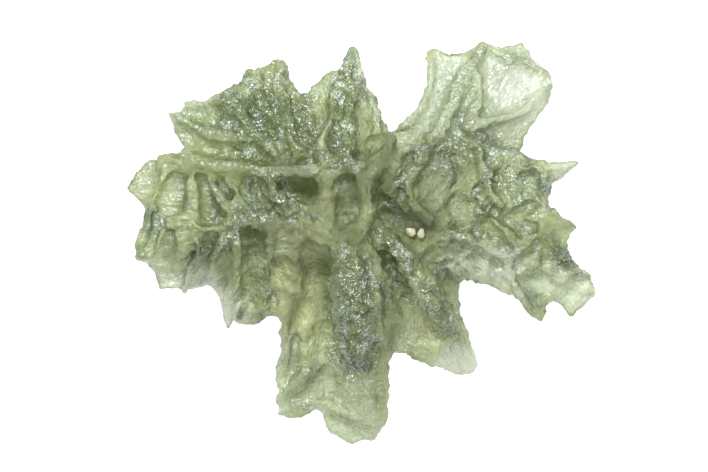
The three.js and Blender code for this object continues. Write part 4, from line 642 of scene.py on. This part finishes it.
def flute_places(points):
    """Where each point lies along the flutes that run out from the roots of the lobes.

    The first two numbers are the direction from the root in the plan, and the third is the
    logarithm of the way out. Between lobes the root slides from one to the next.
    """
    distances = np.array([stroke_distance(points, *ends) for ends in LOBES.values()])
    pull = 1 / np.maximum(distances, LEAST_DISTANCE) ** ROOT_PULL
    roots = np.array([ends[0][:2] for ends in LOBES.values()])
    root = (pull.T @ roots) / pull.sum(0)[:, None]
    flat = points[:, :2] - root
    radius = np.maximum(LEAST_RADIUS, np.linalg.norm(flat, axis=1))
    return np.concatenate([flat / radius[:, None], np.log(radius)[:, None]], axis=1)


def patch_share(points, patches, edge, wander=0):
    """The share that the patches give each point, fading over the width of their edge."""
    share = np.zeros(len(points))
    for start, end, radius, most in patches.values():
        distance = stroke_distance(points[:, :2], start, end) + wander
        share = np.maximum(share, most * np.clip((radius - distance) / edge + 0.5, 0, 1))
    return share


def roughness_share(points):
    """1 on the patches that are etched rough, and near 0 in the smooth flutes."""
    wander = 1.8 * (drift(points / 1.1, 52) - 0.5) + 0.8 * (drift(points / 0.45, 53) - 0.5)
    elsewhere = 0.5 * drift(points / 2.3, 51) ** 2
    return np.maximum(elsewhere, patch_share(points, ROUGH_PATCHES, ROUGH_EDGE, wander))


def surface_cut(points, settings, flutes, rough, level):
    """How deep the flutes and the etched bowls are at each point, in metres."""
    size = settings.scallop_size / MM
    scallop = warped_bowls(points, size, 70)
    chunk = warped_bowls(points, 1.9 * size, 80)
    fine = warped_bowls(points, 0.5 * size, 90)
    flute = bowls(flutes * FLUTE_CELLS, 60) * level * (1 - 0.6 * rough)
    etching = scallop * (0.5 + rough) + (0.8 * chunk + 0.6 * fine) * rough
    rim = 0.8 * fine * (1 - level)
    return settings.flute_depth * flute + settings.scallop_depth * (rim + etching)


def stone_mesh(settings):
    """The stone's surface in millimetres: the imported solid, evened, fluted and etched."""
    draft = shown("stone draft", merged_copy(STONE_NODE, 1 / MM))
    remesh = draft.modifiers.new("remesh", "REMESH")
    remesh.mode = "VOXEL"
    remesh.voxel_size = settings.step / MM
    mesh = plain_mesh(draft)
    bpy.data.objects.remove(draft)

    skin = Skin(mesh)
    skin.evened(EVEN_TURNS)
    skin.moved_out(CREST_SHARE * skin.standing_out(CREST_TURNS))
    points = skin.points
    flutes = flute_places(points)
    rough = skin.softened(roughness_share(points), 2)
    pale = patch_share(points, PALE_PATCHES, PALE_EDGE)
    thickness = skin.thickness()
    room = np.clip(thickness / CUT_THICKNESS, LEAST_CUT, 1)
    stain = (1 - np.exp(-thickness / STAIN_THICKNESS)) * (1 - pale)
    thin = THIN_CLEARNESS * np.exp(-thickness / CLEAR_THICKNESS)
    cut = surface_cut(points, settings, flutes, rough, 1 - skin.slopes())
    skin.moved_out(-cut / MM * room)
    skin.unfolded(UNFOLD_TURNS)
    for thorn in THORNS:
        skin.drawn_out(thorn, settings.thorn_reach / MM)
    skin.points[:, 2] = np.maximum(skin.points[:, 2], 0)

    crest = np.clip(skin.standing_out(SHADE_TURNS) / SHADE_HEIGHT, -1, 1)
    shares = {
        "etch": rough,
        "clear": np.maximum(pale, thin * (1 - rough)),
        "bright": patch_share(skin.points, BRIGHT_PATCHES, BRIGHT_EDGE),
        "dark": patch_share(skin.points, DARK_PATCHES, DARK_EDGE),
        "stain": skin.softened(stain, SOFT_TURNS),
        "room": room,
        "crest": crest,
        "steep": np.clip((skin.slopes() - STEEP_START) / STEEP_START, 0, 1),
    }
    for name, values in shares.items():
        write_attribute(mesh, name, "FLOAT", values)
    write_attribute(mesh, "flute", "FLOAT_VECTOR", flutes)
    return mesh


def merged_copy(node, size):
    """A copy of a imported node's loose triangles as one closed mesh, made larger by size."""
    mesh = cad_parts[node].data.copy()
    mesh.materials.clear()
    work = bmesh.new()
    work.from_mesh(mesh)
    bmesh.ops.remove_doubles(work, verts=work.verts, dist=MERGE_WITHIN)
    bmesh.ops.scale(work, vec=(size, size, size), verts=work.verts)
    work.to_mesh(mesh)
    work.free()
    return mesh


def write_attribute(mesh, name, kind, values):
    attribute = mesh.attributes.new(name, kind, "POINT")
    field = "vector" if kind == "FLOAT_VECTOR" else "value"
    attribute.data.foreach_set(field, values.astype(np.float32).ravel())


def plain_mesh(piece):
    """The mesh of a piece with its modifiers done."""
    graph = bpy.context.evaluated_depsgraph_get()
    graph.update()
    return bpy.data.meshes.new_from_object(
        piece.evaluated_get(graph), preserve_all_data_layers=True, depsgraph=graph
    )


def shown(name, data):
    """A new object in the scene."""
    piece = bpy.data.objects.new(name, data)
    bpy.context.scene.collection.objects.link(piece)
    return piece


def tree_with_sizes(name, sizes):
    """A Geometry Nodes tree with a mesh in and out and a named number for each size.

    Returns the nodes, and the mesh and the sizes as signals.
    """
    tree = bpy.data.node_groups.new(name, "GeometryNodeTree")
    tree.interface.new_socket("Mesh", in_out="INPUT", socket_type="NodeSocketGeometry")
    for size in sizes:
        tree.interface.new_socket(size, in_out="INPUT", socket_type="NodeSocketFloat")
    tree.interface.new_socket("Mesh", in_out="OUTPUT", socket_type="NodeSocketGeometry")
    nodes = Nodes(tree)
    signals = [nodes.add("NodeGroupInput", {}, {}, size) for size in ("Mesh", *sizes)]
    return nodes, *signals


def run_tree(piece, tree, values):
    """Runs a Geometry Nodes tree on a piece and keeps the plain mesh it makes."""
    modifier = piece.modifiers.new(tree.name, "NODES")
    modifier.node_group = tree
    for item in tree.interface.items_tree:
        if item.in_out == "INPUT" and item.name in values:
            modifier[item.identifier] = values[item.name]
    mesh = plain_mesh(piece)
    piece.modifiers.clear()
    piece.data = mesh


def move_along(nodes, mesh, normal, distance):
    """Moves the mesh along its normals."""
    offset = nodes.add(
        "ShaderNodeVectorMath", {"operation": "SCALE"}, {"Vector": normal, "Scale": distance}
    )
    return nodes.add("GeometryNodeSetPosition", {}, {0: mesh, "Offset": offset})


def finish_tree(nodes, mesh, material):
    """Ends a tree: one plain mesh, smooth, with its material."""
    mesh = nodes.add("GeometryNodeRealizeInstances", {}, {0: mesh})
    mesh = nodes.add("GeometryNodeSetShadeSmooth", {}, {0: mesh})
    mesh = nodes.add("GeometryNodeSetMaterial", {}, {0: mesh, "Material": material})
    nodes.add("NodeGroupOutput", {}, {"Mesh": mesh})
    return nodes.tree


def pit_tree(material):
    """Cuts fine pits along the surface where the attribute etch says that it is rough."""
    nodes, mesh, size, depth = tree_with_sizes("fine pits", ("Pit Size", "Pit Depth"))
    place = nodes.add("GeometryNodeInputPosition", {}, {})
    normal = nodes.add("GeometryNodeInputNormal", {}, {})
    etch, room = (
        nodes.add("GeometryNodeInputNamedAttribute", {"data_type": "FLOAT"}, {"Name": name})
        for name in ("etch", "room")
    )
    inputs = {"Vector": place, "Scale": 1.0 / size, "Randomness": 0.9}
    far = nodes.add("ShaderNodeTexVoronoi", {}, inputs)
    lift = (far - 0.45) * depth * (0.25 + 0.75 * etch) * room
    mesh = move_along(nodes, mesh, normal, lift)
    return finish_tree(nodes, mesh, material)


def grain_tree(material):
    """Softens the corners of one angular sand grain and roughens its sides."""
    nodes, mesh, size, depth = tree_with_sizes("sand grain", ("Knob Size", "Knob Depth"))
    place = nodes.add("GeometryNodeInputPosition", {}, {})
    normal = nodes.add("GeometryNodeInputNormal", {}, {})
    mesh = nodes.add("GeometryNodeSubdivideMesh", {}, {0: mesh, "Level": 3})
    soft = nodes.add(
        "GeometryNodeBlurAttribute", {"data_type": "FLOAT_VECTOR"}, {0: place, "Iterations": 1}
    )
    mesh = nodes.add("GeometryNodeSetPosition", {}, {0: mesh, "Position": soft})
    knob = nodes.add("ShaderNodeTexNoise", {}, {"Vector": place, "Scale": 1.0 / size})
    mesh = move_along(nodes, mesh, normal, (knob - 0.4) * depth)
    return finish_tree(nodes, mesh, material)


def glass_material(settings):
    """Clear green glass: smooth with fine streaks in the flutes, and glinting on the rough patches, where
    the glints are partly real reflections and partly painted into the colour, with painted shade in the
    grooves, on steep sides and in the dark patches.
    """
    material = bpy.data.materials.new("moldavite glass")
    material.use_nodes = True
    nodes = Nodes(material.node_tree)
    place = nodes.add("ShaderNodeTexCoord", {}, {}, "Object")
    names = ("etch", "clear", "stain", "bright", "dark", "crest", "steep")
    etch, clear, stain, bright, dark, crest, steep = (nodes.attribute(name) for name in names)
    wide = nodes.cells(place, 0.7)
    facets = nodes.cells(place, 0.3)
    grain = nodes.noise(place, 0.3)
    patch = nodes.noise(place, 2.2)
    # clusters in which the painted glints gather
    swarm = nodes.noise(place, 0.9)
    stretched = nodes.add(
        "ShaderNodeVectorMath",
        {"operation": "MULTIPLY"},
        {0: nodes.attribute("flute", "Vector"), 1: STREAK_CELLS},
    )
    streak = nodes.add("ShaderNodeTexNoise", {}, {"Vector": stretched, "Scale": 1.0, "Detail": 3.0})

    relief = etch * (0.7 * facets + 1.5 * wide) + 0.3 * facets
    relief = relief + (1 - etch) * 2.0 * streak + 0.8 * grain
    normal = nodes.add(
        "ShaderNodeBump", {}, {"Height": relief, "Strength": 1.0, "Distance": settings.relief}
    )
    spread = settings.smooth_roughness - settings.etched_roughness
    roughness = settings.etched_roughness + (1 - etch) * spread + 0.12 * (patch - 0.5)
    roughness = roughness * (1 - clear)

    stops = [(0, settings.pale_tint), (0.5, settings.middle_tint), (1, settings.deep_tint)]
    colour = nodes.add("ShaderNodeValToRGB", {"stops": stops}, {"Fac": stain}, "Color")
    colour = nodes.mixed(bright, colour, settings.bright_tint)
    colour = nodes.mixed(0.75 * etch * stain, colour, settings.rough_tint)
    # painted shade of the dark patches
    colour = nodes.mixed(dark * (0.6 + 0.8 * facets), colour, settings.groove_tint)
    edge = nodes.cells(place, 1.7, "DISTANCE_TO_EDGE")
    line = ((0.05 - edge + 0.12 * (streak - 0.5)) * 25).clamped() * clear
    # painted shade in the grooves and on the steep sides, added to the real dark streaks, fine lines and
    # grain
    shade = settings.groove_shade * (-crest).clamped()
    shade = shade + settings.streak_shade * (streak - 0.5).clamped() * (1 - etch)
    shade = shade + settings.steep_shade * steep + settings.line_shade * line
    shade = shade + settings.grain_shade * (0.47 - grain) * stain
    colour = nodes.mixed(shade.clamped(), colour, settings.groove_tint)
    # painted glints, and painted shade on the facets that would not catch the light
    for size, share in GLINT_SIZES:
        cells = nodes.cells(place, size, output="Color")
        draw = nodes.add("ShaderNodeSeparateColor", {}, {0: cells}, "Red")
        lit = ((draw - GLINT_START) * 8).clamped() * ((swarm - 0.5) * 8).clamped()
        shaded_facet = ((SHADED_FACET_END - draw) * 8).clamped()
        colour = nodes.mixed(SHADED_FACET_SHARE * share * etch * shaded_facet, colour, settings.groove_tint)
        colour = nodes.mixed(share * etch * lit, colour, settings.glint_tint)

    surface = nodes.add(
        "ShaderNodeBsdfPrincipled",
        {},
        {
            "Base Color": colour,
            "Roughness": roughness.clamped(),
            "IOR": settings.bend,
            "Specular IOR Level": 1.0,
            "Transmission Weight": settings.clearness,
            "Normal": normal,
        },
    )
    inside = nodes.add(
        "ShaderNodeVolumeAbsorption",
        {},
        {"Color": (*settings.absorption, 1), "Density": settings.density},
    )
    nodes.add("ShaderNodeOutputMaterial", {}, {"Surface": surface, "Volume": inside})
    return material


def sand_material(settings):
    """Matt cream sand with paler and browner specks."""
    material = bpy.data.materials.new("cream sand")
    material.use_nodes = True
    nodes = Nodes(material.node_tree)
    place = nodes.add("ShaderNodeTexCoord", {}, {}, "Object")
    speck = nodes.noise(place, 0.15)
    brown = tuple(0.82 * value for value in settings.colour)
    colour = nodes.mixed(speck, (*brown, 1), settings.colour)
    normal = nodes.add(
        "ShaderNodeBump", {}, {"Height": speck, "Strength": 0.6, "Distance": 0.03 * MM}
    )
    surface = nodes.add(
        "ShaderNodeBsdfPrincipled",
        {},
        {"Base Color": colour, "Roughness": 0.75 + 0.2 * speck, "IOR": 1.45, "Normal": normal},
    )
    nodes.add("ShaderNodeOutputMaterial", {}, {"Surface": surface})
    return material


def hull_in_box(corners, low, high):
    """An angular closed mesh with its corners at the given shares of a box."""
    work = bmesh.new()
    half = (high - low) / 2
    for corner in corners:
        work.verts.new((low + high) / 2 + half * Vector(corner))
    bmesh.ops.convex_hull(work, input=work.verts)
    mesh = bpy.data.meshes.new("hull")
    work.to_mesh(mesh)
    work.free()
    return mesh


def add_room_light(scene, strength):
    """Adds even light from all around."""
    world = bpy.data.worlds.new("room")
    world.use_nodes = True
    nodes = Nodes(world.node_tree)
    light = nodes.add("ShaderNodeBackground", {}, {"Color": ROOM_COLOUR, "Strength": strength})
    nodes.add("ShaderNodeOutputWorld", {}, {"Surface": light})
    scene.world = world


def add_soft_box(name, angles, size, glare):
    """Adds a square light that faces the stone."""
    around, above = (math.radians(angle) for angle in angles)
    flat = math.cos(above)
    way = Vector((flat * math.cos(around), flat * math.sin(around), math.sin(above)))
    light = bpy.data.lights.new(name, "AREA")
    light.size = size
    light.energy = glare * math.pi * size**2
    light.color = BOX_COLOUR
    box = shown(name, light)
    box.location = way * BOX_DISTANCE
    box.rotation_euler = way.to_track_quat("Z", "Y").to_euler()


def add_camera(scene, lens):
    """Adds the camera, which looks straight down and takes in the photograph's frame."""
    camera = bpy.data.cameras.new("camera")
    camera.lens = lens
    holder = shown("camera", camera)
    distance = FRAME_WIDTH * MM * lens / camera.sensor_width
    holder.location = Vector(FRAME_MIDDLE) * MM + Vector((0, 0, distance))
    scene.camera = holder


def floor_mesh(settings):
    """A round pale floor just under the stone."""
    work = bmesh.new()
    radius = settings.floor_width / 2
    bmesh.ops.create_circle(work, cap_ends=True, segments=FLOOR_SIDES, radius=radius)
    bmesh.ops.translate(work, vec=(0, 0, -FLOOR_DROP * MM), verts=work.verts)
    mesh = bpy.data.meshes.new("floor")
    work.to_mesh(mesh)
    work.free()
    material = bpy.data.materials.new("pale floor")
    material.use_nodes = True
    nodes = Nodes(material.node_tree)
    surface = nodes.add(
        "ShaderNodeBsdfPrincipled",
        {},
        {
            "Base Color": FLOOR_COLOUR,
            "Roughness": 0.9,
            "Emission Color": FLOOR_GLOW_COLOUR,
            "Emission Strength": settings.floor_glow,
        },
    )
    nodes.add("ShaderNodeOutputMaterial", {}, {"Surface": surface})
    mesh.materials.append(material)
    return mesh


class MOLDAVITE_OT_stage(bpy.types.Operator):
    """Make the pale floor, the soft studio light and the camera that looks straight down"""

    bl_idname = "moldavite.stage"
    bl_label = "Stage"

    def execute(self, context):
        settings = context.scene.moldavite_stage
        scene = context.scene
        scene.view_settings.view_transform = "Standard"
        scene.cycles.max_bounces = LIGHT_BOUNCES
        scene.cycles.transmission_bounces = LIGHT_BOUNCES
        floor = shown("floor", floor_mesh(settings))
        add_room_light(scene, settings.room_light)
        for soft_box in SOFT_BOXES:
            add_soft_box(*soft_box)
        add_camera(scene, settings.lens)
        return {"FINISHED"}


class MOLDAVITE_OT_stone(bpy.types.Operator):
    """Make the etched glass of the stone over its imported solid"""

    bl_idname = "moldavite.stone"
    bl_label = "Stone"

    def execute(self, context):
        settings = context.scene.moldavite_stone
        material = glass_material(context.scene.moldavite_glass)
        mesh = stone_mesh(settings)
        mesh.transform(Matrix.Scale(MM, 4))
        stone = shown("etched_moldavite", mesh)
        values = {"Pit Size": settings.pit_size, "Pit Depth": settings.pit_depth}
        run_tree(stone, pit_tree(material), values)
        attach(stone, "root")
        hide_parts(STONE_NODE)
        return {"FINISHED"}


class MOLDAVITE_OT_grains(bpy.types.Operator):
    """Make the two sand grains that are stuck in the face"""

    bl_idname = "moldavite.grains"
    bl_label = "Sand grains"

    def execute(self, context):
        settings = context.scene.moldavite_grains
        tree = grain_tree(sand_material(settings))
        values = {"Knob Size": settings.knob_size, "Knob Depth": settings.knob_depth}
        for node, corners in GRAIN_CORNERS.items():
            grain = shown(node + "_rough", hull_in_box(corners, *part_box(node)))
            run_tree(grain, tree, values)
            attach(grain, "root")
            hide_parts(node)
        return {"FINISHED"}


class MOLDAVITE_PT_panel(bpy.types.Panel):
    """Lists what makes the moldavite"""

    bl_idname = "MOLDAVITE_PT_panel"
    bl_label = "Moldavite"
    bl_space_type = "VIEW_3D"
    bl_region_type = "UI"
    bl_category = "Moldavite"

    def draw(self, context):
        for operator in OPERATORS:
            self.layout.operator(operator.bl_idname)


OPERATORS = [MOLDAVITE_OT_stage, MOLDAVITE_OT_stone, MOLDAVITE_OT_grains]
SETTINGS = {
    "moldavite_stone": StoneSettings,
    "moldavite_glass": GlassSettings,
    "moldavite_grains": GrainSettings,
    "moldavite_stage": StageSettings,
}


def register():
    for kind in (*SETTINGS.values(), *OPERATORS, MOLDAVITE_PT_panel):
        bpy.utils.register_class(kind)
    for name, kind in SETTINGS.items():
        setattr(bpy.types.Scene, name, PointerProperty(type=kind))


def unregister():
    for name in SETTINGS:
        delattr(bpy.types.Scene, name)
    for kind in (MOLDAVITE_PT_panel, *reversed(OPERATORS), *reversed(SETTINGS.values())):
        bpy.utils.unregister_class(kind)


def main():
    register()
    bpy.ops.moldavite.stage()
    bpy.ops.moldavite.stone()
    bpy.ops.moldavite.grains()


if __name__ == "__main__":
    main()
